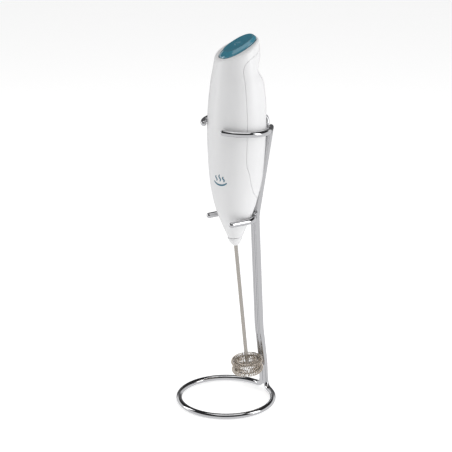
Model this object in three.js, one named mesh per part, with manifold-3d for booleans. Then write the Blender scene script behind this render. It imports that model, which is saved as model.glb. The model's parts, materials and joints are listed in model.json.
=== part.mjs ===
// Battery milk frother resting in its bent-wire stand.
// Millimetres, +Z up, -Y is the open front of the stand, +X is the user's right seen from the back.
import * as THREE from 'three';
import { mergeVertices } from 'three/addons/utils/BufferGeometryUtils.js';
import Module from 'manifold-3d';

const wasm = await Module();
wasm.setup();

// ---- Driving dimensions -------------------------------------------------------------------

const GAP = 0.3;                 // air left between two pieces that touch
const SEAM = 0.25;               // visible line between two housing pieces
const BLOCK = 80;                // a cutting block wider than the handle

// Stand
const WIRE_RADIUS = 1.65;
const RING_SIDES = 12;
const WIRE_SIDES = 8;
const RING_RADIUS = 28.25;       // to the centre of the wire
const FOOT_ANGLE = 14;           // degrees round from the back where an upright runs into the ring
const UPRIGHT_BEND = { foot: 5, shin: 45, knee: 26, top: 4 };
const SHIN_HEIGHT = 42;          // where the uprights stop following the whisk and lean in
const SHIN_SETBACK = 3.1;        // how far the shin stands in front of the whisk's back
const PRONG_STANDOFF = 5.2;      // from the handle's back to the wire at the top bend
const PRONG_RISE = { right: 3.5, left: -2 };   // degrees the prongs climb towards their tips
const PRONG_STEP = 3.3;          // the left prong sits this much higher than the right one
const PRONG_TIP = 25;            // degrees from the front where an upper prong ends
const PRONG_GRIP = 0.4;          // air between the upper prongs and the handle
const PRONG_LEAD = 0.06;         // radians past the tangent where a prong meets the handle's curve
const FORK_REACH = 14.2;         // from the handle's middle to the tips of the lower fork

// Drive line
const DRIVE_TILT = 6.3;          // degrees the shaft leans back from vertical
const WHISK_HEIGHT = 18.8;       // centre of the whisk above the table
const WHISK_RADIUS = 9.6;
const COIL_RADIUS = 2.3;         // of each coil's round section
const WHISK_CLEARANCE = 0.5;     // from the whisk to the uprights
const SHAFT_LENGTH = 78.3;       // from the whisk's centre to the nose tip
const SHAFT_RADIUS = 1.1;
const SHAFT_BEND = 2.6;
const FOOT_TURN = 56;            // degrees round from +X where the shaft's foot points
const NOSE_LENGTH = 5.2;
const NOSE_RADIUS = 4.3;
const NOSE_TIP_RADIUS = 1.9;
const NOSE_BACK_SET = 0.2;        // from the handle's middle forward to the nose tip
const SPIGOT_LENGTH = 3.2;
const BUSH_RADIUS = 3.6;
const BUSH_LENGTH = 2.4;
const BUSH_CLEARANCE = 0.12;     // the shaft runs in the bush
const COUPLING_RADIUS = 2.6;
const COUPLING_LENGTH = 7;
const COUPLING_SOCKET = 2.9;     // depth of the motor's end of the coupling
const MOTOR_RADIUS = 7.2;
const MOTOR_FLATS = 10.6;
const MOTOR_LENGTH = 15.5;
const MOTOR_WALL = 0.7;
const MOTOR_BOSS = { radius: 2.4, height: 0.8 };
const END_CAP_LENGTH = 2;
const MOTOR_SHAFT_RADIUS = 0.75;
const ROTOR_RADIUS = 4.3;
const ROTOR_LENGTH = 7.5;
const ROTOR_RISE = 1.5;          // from the can's floor to the rotor
const ROTOR_SLOT = 1.2;
const COMMUTATOR = { radius: 2, length: 2 };
const MAGNET_THICKNESS = 1.4;
const CRADLE_WALL = 0.9;
const CRADLE_LENGTH = 5;
const CRADLE_FROM_TOP = 1;        // from the motor's top to the cradle
const SCREW_RADIUS = 0.8;
const SCREW_HEAD_RADIUS = 1.3;
const BOSS_RADIUS = 1.6;
const EAR_THICKNESS = 1.6;
const SCREW_BITE = 1.1;          // how far a screw goes into its boss
const SCREW_HEAD_HEIGHT = 1.2;

// Cells and their carrier
const CELL_DIAMETER = 14.5;
const CELL_LENGTH = 50.5;
const CELL_SPACING = 0.4;
const NUB_RADIUS = 2.7;
const NUB_HEIGHT = 1.3;
const CELL_SPRING_HEIGHT = 3.6;
const CARRIER_WALL = 1.4;
const CARRIER_CLEARANCE = 0.8;   // from the carrier to the motor, and to the leads
const CELL_SPRING = { wire: 0.35, base: 3.8, top: 2.2, turns: 3 };
const CONTACT_WIDTH = 9;
const CONTACT_THICKNESS = 0.4;
const LEAD_X = 5.5;
const LEAD_SLOT = 2.6;
const LEAD_RADIUS = 0.6;
const LEAD_BEND = 1.2;

// Handle
const HANDLE_Y = 7;              // middle of the handle behind the ring's centre
const SHELL_WALL = 1.5;
const BELLY_SIDE_ROOM = 1.85;    // from the cells to the shell's inside at the widest place
const BELLY_FRONT_ROOM = 7.25;
const BELLY_BACK_ROOM = 7.65;
const MOTOR_ROOM = 3;
const NOTCH_DEPTH = 5.4;         // of the finger notch, from the belly's back
const NOTCH_ABOVE_CELLS = 10.6;
const HEAD_SIDE_ROOM = 11.5;     // from the handle's middle to the head's inside
const TOP_SLOPE = 25;            // degrees, high at the back
const TOP_ABOVE_NOTCH = 12.2;    // slanted rim at the button's middle
const HEAD_BAND = 5;             // from the cover's top edge to the rim
const COVER_EDGE = 4.4;          // parting line in front of the handle's middle
const COVER_TAIL = 13;           // the cover's lower end below the cells

// Button and switch
const BUTTON_HALF_WIDTH = 7.6;
const BUTTON_HALF_LENGTH = 10.9; // in plan
const BUTTON_OFFSET = 0.9;       // behind the handle's middle
const BUTTON_RISE = 2.4;
const BUTTON_BEVEL = 1.1;
const BUTTON_FLANGE = 1.2;
const FLANGE_WIDTH = 1;          // beyond the button's sides, under the rim
const BUTTON_TRAVEL = 1.5;
const STEM_RADIUS = 1.8;
const STEM_OFFSET = 4;           // behind the handle's middle
const SPRING_POST_OFFSET = -4;   // in front of the handle's middle
const SPRING_POST_RADIUS = 1.2;
const BUTTON_SPRING = { wire: 0.35, radius: 2, turns: 6 };
const SWITCH = { width: 7, depth: 10, base: 1.2, leafWidth: 3, leafHeight: 3 };

const radians = THREE.MathUtils.degToRad;
const { sin, cos, tan, PI, hypot } = Math;

// ---- Materials ----------------------------------------------------------------------------

const finish = (color, roughness, metalness) => () =>
  new THREE.MeshStandardMaterial({ color, roughness, metalness });
const chrome = finish(0xc8c9cc, 0.08, 1);
const whitePlastic = finish(0xeeeeee, 0.28, 0);
const tealPlastic = finish(0x3c7487, 0.3, 0);
const blackPlastic = finish(0x2b2b2d, 0.5, 0);
const steel = finish(0xb3aea6, 0.25, 1);
const brass = finish(0xc9a24a, 0.3, 1);
const copper = finish(0xb87346, 0.4, 1);
const ferrite = finish(0x3a3a3e, 0.7, 0.2);
const cellJacket = finish(0x3d6a4a, 0.35, 0.1);
const redLead = finish(0xb02a24, 0.5, 0);
const blackLead = finish(0x1c1c1e, 0.5, 0);

// ---- Solids -------------------------------------------------------------------------------

function solid(geometry) {
  const bare = geometry.clone();
  bare.deleteAttribute('normal');
  bare.deleteAttribute('uv');
  const merged = mergeVertices(bare, 1e-4);
  const vertProperties = new Float32Array(merged.attributes.position.array);
  const triVerts = new Uint32Array(merged.index.array);
  return new wasm.Manifold(new wasm.Mesh({ numProp: 3, vertProperties, triVerts }));
}

function geometryOf(manifold) {
  const mesh = manifold.getMesh();
  const geometry = new THREE.BufferGeometry();
  geometry.setAttribute('position', new THREE.BufferAttribute(mesh.vertProperties, 3));
  geometry.setIndex(new THREE.BufferAttribute(mesh.triVerts, 1));
  geometry.computeVertexNormals();
  return geometry;
}

const join = (...shapes) => shapes.map(asSolid).reduce((a, b) => a.add(b));
const cut = (body, ...tools) => tools.map(asSolid).reduce((a, b) => a.subtract(b), asSolid(body));
const common = (a, b) => asSolid(a).intersect(asSolid(b));

function asSolid(shape) {
  return shape instanceof THREE.BufferGeometry ? solid(shape) : shape;
}

function piece(name, shape, material) {
  const geometry = shape instanceof THREE.BufferGeometry ? shape : geometryOf(shape);
  const mesh = new THREE.Mesh(geometry, material());
  mesh.name = name;
  return mesh;
}

// Upright cylinder from z = low to z = high, its middle at (x, y).
function rod(radius, low, high, x = 0, y = 0, sides = 20) {
  const shape = new THREE.CylinderGeometry(radius, radius, high - low, sides);
  return shape.rotateX(PI / 2).translate(x, y, (low + high) / 2);
}

function box(width, depth, low, high, x = 0, y = 0) {
  return new THREE.BoxGeometry(width, depth, high - low).translate(x, y, (low + high) / 2);
}

// Turned piece about Z from a closed list of [radius, z].
function turned(profile, segments = 24) {
  const points = [...profile, profile[0]].map(([r, z]) => new THREE.Vector2(r, z));
  return new THREE.LatheGeometry(points, segments).rotateX(PI / 2);
}

const tubeRing = (inner, outer, low, high, segments) =>
  turned([[inner, low], [outer, low], [outer, high], [inner, high]], segments);

// A path with its steps exactly at the given points, so straight runs cost nothing.
class StepPath extends THREE.Curve {
  constructor(points) {
    super();
    this.points = points;
  }

  getPoint(t) {
    const place = t * (this.points.length - 1);
    const i = Math.min(Math.floor(place), this.points.length - 2);
    return this.points[i].clone().lerp(this.points[i + 1], place - i);
  }

  getTangent(t) {
    const i = Math.round(t * (this.points.length - 1));
    const before = this.points[Math.max(i - 1, 0)];
    const after = this.points[Math.min(i + 1, this.points.length - 1)];
    return after.clone().sub(before).normalize();
  }

  getPointAt(t) {
    return this.getPoint(t);
  }

  getTangentAt(t) {
    return this.getTangent(t);
  }
}

// Round wire along points, with a flat of its many-sided section facing each axis.
function wire(points, radius, sides = WIRE_SIDES) {
  const corner = radius / cos(PI / sides);
  const section = new THREE.Shape(Array.from({ length: sides }, (_, i) => {
    const angle = (2 * i + 1) * PI / sides;
    return new THREE.Vector2(corner * cos(angle), corner * sin(angle));
  }));
  return new THREE.ExtrudeGeometry(section, {
    steps: points.length - 1, extrudePath: new StepPath(points), curveSegments: 1,
  });
}

// Points along straight runs joined by bends; radii has one value per inner corner.
function bent(corners, radii, steps = 5) {
  const points = [corners[0]];
  for (let i = 1; i < corners.length - 1; i++) {
    const back = corners[i - 1].clone().sub(corners[i]).normalize();
    const ahead = corners[i + 1].clone().sub(corners[i]).normalize();
    const length = radii[i - 1] * tan((PI - back.angleTo(ahead)) / 2);
    const start = corners[i].clone().addScaledVector(back, length);
    const end = corners[i].clone().addScaledVector(ahead, length);
    const curve = new THREE.QuadraticBezierCurve3(start, corners[i], end);
    points.push(...curve.getPoints(steps));
  }
  points.push(corners[corners.length - 1]);
  return points;
}

// Helical spring standing on z = low.
function coilSpring(radius, wireRadius, low, high, turns, x, y, endRadius = radius) {
  const count = turns * 8;
  const points = Array.from({ length: count + 1 }, (_, i) => {
    const t = i / count;
    const r = radius + (endRadius - radius) * t;
    const z = low + wireRadius + (high - low - 2 * wireRadius) * t;
    return new THREE.Vector3(x + r * cos(2 * PI * turns * t), y + r * sin(2 * PI * turns * t), z);
  });
  return wire(points, wireRadius, 5);
}

// ---- Places worked out from the sizes -----------------------------------------------------

const tilt = radians(DRIVE_TILT);
const noseTip = new THREE.Vector3(0, HANDLE_Y - NOSE_BACK_SET, WHISK_HEIGHT + SHAFT_LENGTH * cos(tilt));
const onDrive = (along) => new THREE.Vector3(
  0, noseTip.y - along * sin(tilt), noseTip.z + along * cos(tilt));

const spigotTop = NOSE_LENGTH + SPIGOT_LENGTH;
const bushLow = spigotTop + GAP;
const couplingLow = bushLow + BUSH_LENGTH + GAP;
const motorLow = couplingLow + COUPLING_LENGTH + GAP + MOTOR_BOSS.height;
const motorHigh = motorLow + MOTOR_LENGTH;
const rotorLow = motorLow + MOTOR_WALL + ROTOR_RISE;

const carrierFloor = onDrive(motorHigh).z + MOTOR_RADIUS * sin(tilt) + CARRIER_CLEARANCE;
const bridgeZ = carrierFloor + CARRIER_WALL + GAP;
const springZ = bridgeZ + CONTACT_THICKNESS + GAP;
const cellLow = springZ + CELL_SPRING_HEIGHT + GAP;
const cellHigh = cellLow + CELL_LENGTH;
const contactZ = cellHigh + GAP;
const carrierRoof = contactZ + CONTACT_THICKNESS + GAP;
const notchZ = cellHigh + NOTCH_ABOVE_CELLS;
const topZ = notchZ + TOP_ABOVE_NOTCH;
const seamZ = onDrive(NOSE_LENGTH).z;
const cellX = (CELL_DIAMETER + CELL_SPACING) / 2;
const leadY = HANDLE_Y - CELL_DIAMETER / 2 - GAP - CARRIER_WALL - LEAD_RADIUS - GAP - CARRIER_CLEARANCE;

const slope = tan(radians(TOP_SLOPE));
const buttonY = HANDLE_Y + BUTTON_OFFSET;
const rimZ = (y) => topZ + (y - buttonY) * slope;

// Handle outline: at each height, how far it reaches to the front, the back and each side.
const bellyFront = CELL_DIAMETER / 2 + BELLY_FRONT_ROOM + SHELL_WALL;
const bellyBack = CELL_DIAMETER / 2 + BELLY_BACK_ROOM + SHELL_WALL;
const bellyHalf = CELL_DIAMETER + CELL_SPACING / 2 + BELLY_SIDE_ROOM + SHELL_WALL;
const headHalf = HEAD_SIDE_ROOM + SHELL_WALL;
const flareHalf = MOTOR_RADIUS + MOTOR_ROOM + SHELL_WALL;
const stations = [
  { z: seamZ - 2, front: 3.6, back: 3, half: 3.3 },
  { z: seamZ, front: NOSE_RADIUS + 0.77, back: NOSE_RADIUS - 0.77, half: NOSE_RADIUS },
  { z: seamZ + 8.2, front: flareHalf - 3.1, back: flareHalf - 5.3, half: flareHalf - 3.7 },
  { z: seamZ + 16.7, front: flareHalf, back: flareHalf - 2.1, half: flareHalf - 0.1 },
  { z: cellLow - 11, front: flareHalf + 2.2, back: flareHalf + 0.7, half: flareHalf + 2.75 },
  { z: cellLow, front: bellyFront - 0.9, back: bellyBack - 1.7, half: bellyHalf - 1.6 },
  { z: (cellLow + cellHigh) / 2, front: bellyFront, back: bellyBack, half: bellyHalf },
  { z: cellHigh - 9.5, front: bellyFront - 0.9, back: bellyBack + 0.2, half: bellyHalf - 0.25 },
  { z: cellHigh - 1.5, front: bellyFront - 1.7, back: bellyBack - 0.6, half: bellyHalf - 1.1 },
  { z: notchZ - 6, front: bellyFront - 2.4, back: bellyBack - 2.7, half: headHalf + 2.6 },
  { z: notchZ, front: bellyFront - 3.2, back: bellyBack - NOTCH_DEPTH, half: headHalf + 1.4 },
  { z: notchZ + 8, front: bellyFront - 4.4, back: bellyBack - 2.8, half: headHalf },
  { z: topZ + 6.5, front: bellyFront - 5.9, back: bellyBack - 3.4, half: headHalf - 2.4 },
  { z: topZ + 12, front: bellyFront - 6.9, back: bellyBack - 4.2, half: headHalf - 4 },
];

// Smooth value of one reach at height z: a cubic through the stations.
function reach(key, z) {
  const last = stations.length - 1;
  let i = stations.findIndex((s) => s.z > z) - 1;
  if (z >= stations[last].z) i = last - 1;
  i = Math.max(i, 0);
  const steepness = (k) => {
    const [a, b] = [stations[Math.max(k - 1, 0)], stations[Math.min(k + 1, last)]];
    return (b[key] - a[key]) / (b.z - a.z);
  };
  const [low, high] = [stations[i], stations[i + 1]];
  const h = high.z - low.z;
  const t = (z - low.z) / h;
  return (1 + 2 * t) * (1 - t) ** 2 * low[key] + t * (1 - t) ** 2 * h * steepness(i)
    + t * t * (3 - 2 * t) * high[key] + t * t * (t - 1) * h * steepness(i + 1);
}

// Point of the handle's surface moved out by offset; turn 0 is the front, 90 degrees is +X.
function handlePoint(turn, z, offset = 0) {
  const depth = reach(cos(turn) > 0 ? 'front' : 'back', z) + offset;
  return new THREE.Vector3((reach('half', z) + offset) * sin(turn), HANDLE_Y - depth * cos(turn), z);
}

// Level distance that keeps a round wire clear of the tapering handle.
function standoff(z, clearance) {
  const taper = (reach('half', z + 1) - reach('half', z - 1)) / 2;
  return (WIRE_RADIUS + clearance) * hypot(1, taper);
}

// ---- Stand --------------------------------------------------------------------------------

const ringZ = WIRE_RADIUS;
const uprightX = WIRE_RADIUS + GAP / 2;
const whiskBack = onDrive(-SHAFT_LENGTH).y + WHISK_RADIUS;
const uprightBack = whiskBack + WHISK_CLEARANCE + WIRE_RADIUS;
const prongZ = (cellLow + cellHigh) / 2 + 2;
const forkZ = seamZ + 11.5;
const forkOffset = standoff(forkZ, GAP);
const forkBack = HANDLE_Y + reach('back', forkZ) + forkOffset;
const kneeBack = forkBack + 2 * WIRE_RADIUS + GAP;
const prongBack = HANDLE_Y + reach('back', prongZ) + PRONG_STANDOFF + WIRE_RADIUS;

function ringPoint(angle) {
  return new THREE.Vector3(RING_RADIUS * sin(angle), RING_RADIUS * cos(angle), ringZ);
}

function baseRing() {
  const start = radians(FOOT_ANGLE) + GAP / RING_RADIUS;
  const steps = 48;
  const points = Array.from({ length: steps + 1 }, (_, i) =>
    ringPoint(start + (2 * PI - 2 * start) * i / steps));
  return piece('base_ring', wire(points, WIRE_RADIUS, RING_SIDES), chrome);
}

// One upright with its foot and its upper prong; side is +1 or -1, lift raises the prong.
function upright(name, side, lift) {
  const at = (y, z) => new THREE.Vector3(side * uprightX, y, z);
  const top = prongZ + lift;
  const rise = side > 0 ? PRONG_RISE.right : PRONG_RISE.left;
  const climb = (y) => top + (HANDLE_Y - y) * tan(radians(rise));
  const offset = standoff(prongZ, PRONG_GRIP);
  const around = (turn) => {
    const point = handlePoint(turn, prongZ, offset);
    return new THREE.Vector3(side * point.x, point.y, climb(point.y));
  };
  const middle = (reach('half', prongZ) + reach('back', prongZ)) / 2 + offset;
  const leave = PI - Math.acos(middle / (prongBack - HANDLE_Y)) - PRONG_LEAD;
  const corners = [
    ringPoint(side * radians(FOOT_ANGLE)),
    at(RING_RADIUS, ringZ),
    at(uprightBack, WHISK_HEIGHT),
    at(uprightBack - SHIN_SETBACK, SHIN_HEIGHT),
    at(kneeBack, forkZ - 1),
    at(prongBack, climb(prongBack)),
    around(leave),
  ];
  const { shin, knee, top: tight } = UPRIGHT_BEND;
  const foot = Math.min(UPRIGHT_BEND.foot, RING_RADIUS * sin(radians(FOOT_ANGLE)) - uprightX);
  const path = bent(corners, [foot, shin, shin, knee, tight]);
  const steps = 12;
  const tip = radians(PRONG_TIP);
  for (let i = 1; i <= steps; i++) path.push(around(leave + (tip - leave) * i / steps));
  return piece(name, wire(path, WIRE_RADIUS), chrome);
}

function lowerFork() {
  const arm = (side) => new THREE.Vector3(
    side * (reach('half', forkZ) + forkOffset), HANDLE_Y - FORK_REACH, forkZ);
  const steps = 16;
  const back = Array.from({ length: steps + 1 }, (_, i) =>
    handlePoint(PI / 2 + PI * i / steps, forkZ, forkOffset));
  return piece('lower_fork', wire([arm(1), ...back, arm(-1)], WIRE_RADIUS), chrome);
}

// ---- Housing ------------------------------------------------------------------------------

// The handle as a solid, moved in by inset: a unit cylinder drawn out to the outline.
function handleSolid(inset, low, high, rows = 28, sides = 32) {
  const shape = new THREE.CylinderGeometry(1, 1, 1, sides, rows);
  shape.deleteAttribute('normal');
  shape.deleteAttribute('uv');
  const position = shape.attributes.position;
  for (let i = 0; i < position.count; i++) {
    const [x, y, t] = [position.getX(i), -position.getZ(i), position.getY(i) + 0.5];
    const z = low + (high - low) * t;
    const size = hypot(x, y);
    const edge = handlePoint(Math.atan2(x, -y), z, -inset);
    const middle = new THREE.Vector3(0, HANDLE_Y, z);
    const point = middle.lerp(edge, Math.min(size, 1));
    position.setXYZ(i, point.x, point.y, point.z);
  }
  return solid(shape);
}

// Everything above the slanted plane that lies drop below the rim.
function aboveRim(drop) {
  const block = new THREE.BoxGeometry(BLOCK, BLOCK, BLOCK).translate(0, 0, BLOCK / 2);
  return block.rotateX(radians(TOP_SLOPE)).translate(0, buttonY, topZ - drop);
}

// Everything below the plane of the nose seam.
function belowSeam(rise) {
  const block = new THREE.BoxGeometry(BLOCK, BLOCK, BLOCK).translate(0, 0, -BLOCK / 2);
  const place = onDrive(NOSE_LENGTH + rise);
  return block.rotateX(tilt).translate(place.x, place.y, place.z);
}

// Side view of the cover as a block across the handle, grown by margin at its edge.
function coverBlock(margin) {
  const edge = HANDLE_Y - COVER_EDGE - margin;
  const low = cellLow - COVER_TAIL - margin;
  const high = (y) => rimZ(y) - HEAD_BAND + margin;
  const far = HANDLE_Y + BLOCK / 2;
  const outline = new THREE.Shape();
  outline.moveTo(far, low);
  outline.lineTo(edge + 13, low);
  outline.bezierCurveTo(edge + 5, low + 2, edge + 3.2, low + 12, edge + 2.2, low + 17);
  outline.quadraticCurveTo(edge, low + 21, edge, low + 27);
  outline.lineTo(edge, high(edge) - 6);
  outline.bezierCurveTo(edge, high(edge) - 2, edge + 1, high(edge + 1.5), edge + 5, high(edge + 5));
  outline.lineTo(far, high(far));
  const shape = new THREE.ExtrudeGeometry(outline, { depth: BLOCK, bevelEnabled: false, curveSegments: 8 });
  // Shape axes are (y, z) and the depth runs along x.
  const basis = new THREE.Matrix4().makeBasis(
    new THREE.Vector3(0, 1, 0), new THREE.Vector3(0, 0, 1), new THREE.Vector3(1, 0, 0));
  return shape.applyMatrix4(basis).translate(-BLOCK / 2, 0, 0);
}

const cradleHigh = motorHigh - CRADLE_FROM_TOP;
const cradleMiddle = cradleHigh - CRADLE_LENGTH / 2;
const screwX = MOTOR_RADIUS + GAP + CRADLE_WALL + GAP + BOSS_RADIUS;
const screwZ = onDrive(cradleMiddle).z;
const bossEnd = onDrive(cradleMiddle).y - EAR_THICKNESS / 2 - CRADLE_LENGTH / 2 * sin(tilt) - 2 * GAP;

// Cylinder along Y, for screws and their bosses.
function crossRod(radius, near, far, x, z, sides = 16) {
  const shape = new THREE.CylinderGeometry(radius, radius, far - near, sides);
  return shape.translate(x, (near + far) / 2, z);
}

function housing() {
  const high = topZ + 11;
  const outer = cut(handleSolid(0, seamZ - 2, high), aboveRim(0), belowSeam(SEAM));
  const inner = cut(handleSolid(SHELL_WALL, seamZ - 2, high), aboveRim(SHELL_WALL * 1.2));
  return { outer, inner, wall: cut(outer, inner) };
}

function frontShell({ outer, wall }) {
  const window = buttonSlice(GAP, -4 * SHELL_WALL, 4 * SHELL_WALL);
  let shell = cut(wall, coverBlock(SEAM), window);
  const holeRadius = SCREW_RADIUS + 2 * GAP;
  for (const side of [1, -1]) {
    const boss = crossRod(BOSS_RADIUS, HANDLE_Y - bellyFront, bossEnd, side * screwX, screwZ);
    const hole = crossRod(holeRadius, bossEnd - SCREW_BITE - GAP, bossEnd + 1, side * screwX, screwZ);
    shell = cut(join(shell, common(boss, outer)), hole);
  }
  return piece('front_shell', shell, whitePlastic);
}

function rearCover({ wall }) {
  return piece('rear_cover', common(wall, coverBlock(0)), whitePlastic);
}

// ---- Button -------------------------------------------------------------------------------

// Stack of ovals that follow the slanted rim; levels are [rise, side spread, end spread].
function slantedStack(levels, sides = 36) {
  const shape = new THREE.CylinderGeometry(1, 1, 1, sides, levels.length - 1);
  shape.deleteAttribute('normal');
  shape.deleteAttribute('uv');
  const position = shape.attributes.position;
  for (let i = 0; i < position.count; i++) {
    const level = levels[Math.round((position.getY(i) + 0.5) * (levels.length - 1))];
    const [rise, side, end = side] = level;
    const x = position.getX(i) * (BUTTON_HALF_WIDTH + side);
    const y = buttonY - position.getZ(i) * (BUTTON_HALF_LENGTH + end);
    position.setXYZ(i, x, y, rimZ(y) + rise);
  }
  return shape;
}

const buttonSlice = (spread, low, high) => slantedStack([[low, spread], [high, spread]]);

const flangeHigh = -SHELL_WALL * 1.2 / cos(radians(TOP_SLOPE)) - GAP;
const flangeLow = flangeHigh - BUTTON_FLANGE;
const stemY = HANDLE_Y + STEM_OFFSET;
const postY = HANDLE_Y + SPRING_POST_OFFSET;
const switchZ = carrierRoof + CARRIER_WALL + GAP;
const leafZ = switchZ + SWITCH.leafHeight;
const stemLow = leafZ + CONTACT_THICKNESS + BUTTON_TRAVEL + 0.1;
const postLow = switchZ + BUTTON_TRAVEL + 1.4;

function pushButton() {
  const cap = slantedStack([
    [flangeLow, FLANGE_WIDTH, -GAP], [flangeHigh, FLANGE_WIDTH, -GAP], [flangeHigh + 0.05, 0],
    [BUTTON_RISE * 0.25, 0], [BUTTON_RISE, -BUTTON_BEVEL],
  ]);
  const into = BUTTON_FLANGE / 3;
  const stem = rod(STEM_RADIUS, stemLow, rimZ(stemY) + flangeLow + into, 0, stemY, 16);
  const post = rod(SPRING_POST_RADIUS, postLow, rimZ(postY) + flangeLow + into, 0, postY, 12);
  return piece('push_button', join(cap, stem, post), tealPlastic);
}

function buttonSpring() {
  const { wire: thickness, radius, turns } = BUTTON_SPRING;
  const high = rimZ(postY - radius - thickness) + flangeLow - GAP;
  const coil = coilSpring(radius, thickness, switchZ, high, turns, 0, postY);
  return piece('button_spring', coil, steel);
}

function switchParts() {
  const { width, depth, base, leafWidth } = SWITCH;
  const post = depth / 4;
  const block = join(
    box(width, depth, switchZ, switchZ + base, 0, stemY),
    box(width, post, switchZ, leafZ - GAP, 0, stemY + (depth - post) / 2));
  const lowZ = switchZ + base + GAP;
  const low = box(leafWidth, depth - post - GAP, lowZ, lowZ + CONTACT_THICKNESS, 0, stemY - (post + GAP) / 2);
  const high = box(leafWidth, depth, leafZ, leafZ + CONTACT_THICKNESS, 0, stemY);
  return [
    piece('switch_block', block, blackPlastic),
    piece('switch_leaf_lower', low, brass),
    piece('switch_leaf_upper', high, brass),
  ];
}

// ---- Cells and carrier --------------------------------------------------------------------

function cell(name, side, nubUp) {
  const r = CELL_DIAMETER / 2;
  const profile = [
    [0, 0], [r - 0.5, 0], [r, 0.5], [r, CELL_LENGTH - NUB_HEIGHT - 0.5],
    [r - 0.5, CELL_LENGTH - NUB_HEIGHT], [NUB_RADIUS, CELL_LENGTH - NUB_HEIGHT],
    [NUB_RADIUS, CELL_LENGTH], [0, CELL_LENGTH],
  ];
  const mesh = piece(name, turned(profile, 28), cellJacket);
  mesh.position.set(side * cellX, HANDLE_Y, nubUp ? cellLow : cellHigh);
  if (!nubUp) mesh.rotation.x = PI;
  return mesh;
}

function carrier() {
  const plate = (low) => handleSolid(SHELL_WALL + GAP, low, low + CARRIER_WALL, 2);
  const top = carrierRoof + CARRIER_WALL;
  const spineY = HANDLE_Y - CELL_DIAMETER / 2 - GAP - CARRIER_WALL / 2;
  const spine = box(CELL_DIAMETER, CARRIER_WALL, carrierFloor, top, 0, spineY);
  const reliefs = [1, -1].map((side) =>
    rod(LEAD_SLOT, carrierFloor - 1, top + 1, side * LEAD_X, leadY));
  const body = join(plate(carrierFloor), plate(carrierRoof), spine);
  return piece('battery_carrier', cut(body, ...reliefs), blackPlastic);
}

function contacts() {
  const { wire: thickness, base, top, turns } = CELL_SPRING;
  const bridgeWidth = 2 * cellX + CONTACT_WIDTH - 2;
  const bridge = box(bridgeWidth, CONTACT_WIDTH, bridgeZ, bridgeZ + CONTACT_THICKNESS, 0, HANDLE_Y);
  const contactTop = contactZ + CONTACT_THICKNESS;
  const pads = [1, -1].map((side) => piece(
    side > 0 ? 'contact_plate_right' : 'contact_plate_left',
    box(CONTACT_WIDTH, CONTACT_WIDTH, contactZ, contactTop, side * cellX, HANDLE_Y), brass));
  const springs = [1, -1].map((side) => piece(
    side > 0 ? 'cell_spring_right' : 'cell_spring_left',
    coilSpring(base, thickness, springZ, cellLow - GAP, turns, side * cellX, HANDLE_Y, top), steel));
  return [piece('bridge_plate', bridge, brass), ...pads, ...springs];
}

function lead(name, side, material) {
  const x = side * LEAD_X;
  const low = onDrive(motorHigh).z + 1;
  const corners = [
    new THREE.Vector3(x, onDrive(motorHigh).y - MOTOR_FLATS / 2 + LEAD_RADIUS, low),
    new THREE.Vector3(x, leadY, carrierFloor - 1),
    new THREE.Vector3(x, leadY, switchZ + 1),
  ];
  const bend = Math.min(LEAD_BEND, corners[0].distanceTo(corners[1]) / 2);
  return piece(name, wire(bent(corners, [bend]), LEAD_RADIUS, 8), material);
}

// ---- Drive, built along its own axis with z = 0 at the nose tip ----------------------------

function noseCone() {
  const bore = SHAFT_RADIUS + GAP;
  const spigot = NOSE_RADIUS - SHELL_WALL - GAP;
  const flank = [0.35, 0.7, 1].map((t) => [
    NOSE_TIP_RADIUS + (NOSE_RADIUS - NOSE_TIP_RADIUS) * sin(t * PI / 2) ** 1.1, NOSE_LENGTH * t]);
  return piece('nose_cone', turned([
    [bore, 0.2], [NOSE_TIP_RADIUS - 0.3, 0], [NOSE_TIP_RADIUS + 0.3, 0.5], ...flank,
    [spigot, NOSE_LENGTH], [spigot, spigotTop], [bore, spigotTop],
  ], 32), whitePlastic);
}

function shaftBush() {
  const bore = SHAFT_RADIUS + BUSH_CLEARANCE;
  return piece('shaft_bush', tubeRing(bore, BUSH_RADIUS, bushLow, bushLow + BUSH_LENGTH), brass);
}

function motorOutline(inset) {
  const radius = MOTOR_RADIUS - inset;
  const flat = MOTOR_FLATS / 2 - inset;
  const swing = Math.asin(flat / radius);
  const outline = new THREE.Shape();
  outline.absarc(0, 0, radius, -swing, swing, false);
  outline.absarc(0, 0, radius, PI - swing, PI + swing, false);
  return outline;
}

function motorSlab(inset, low, high) {
  const slab = new THREE.ExtrudeGeometry(motorOutline(inset), {
    depth: high - low, bevelEnabled: false, curveSegments: 10,
  });
  return slab.translate(0, 0, low);
}

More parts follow.
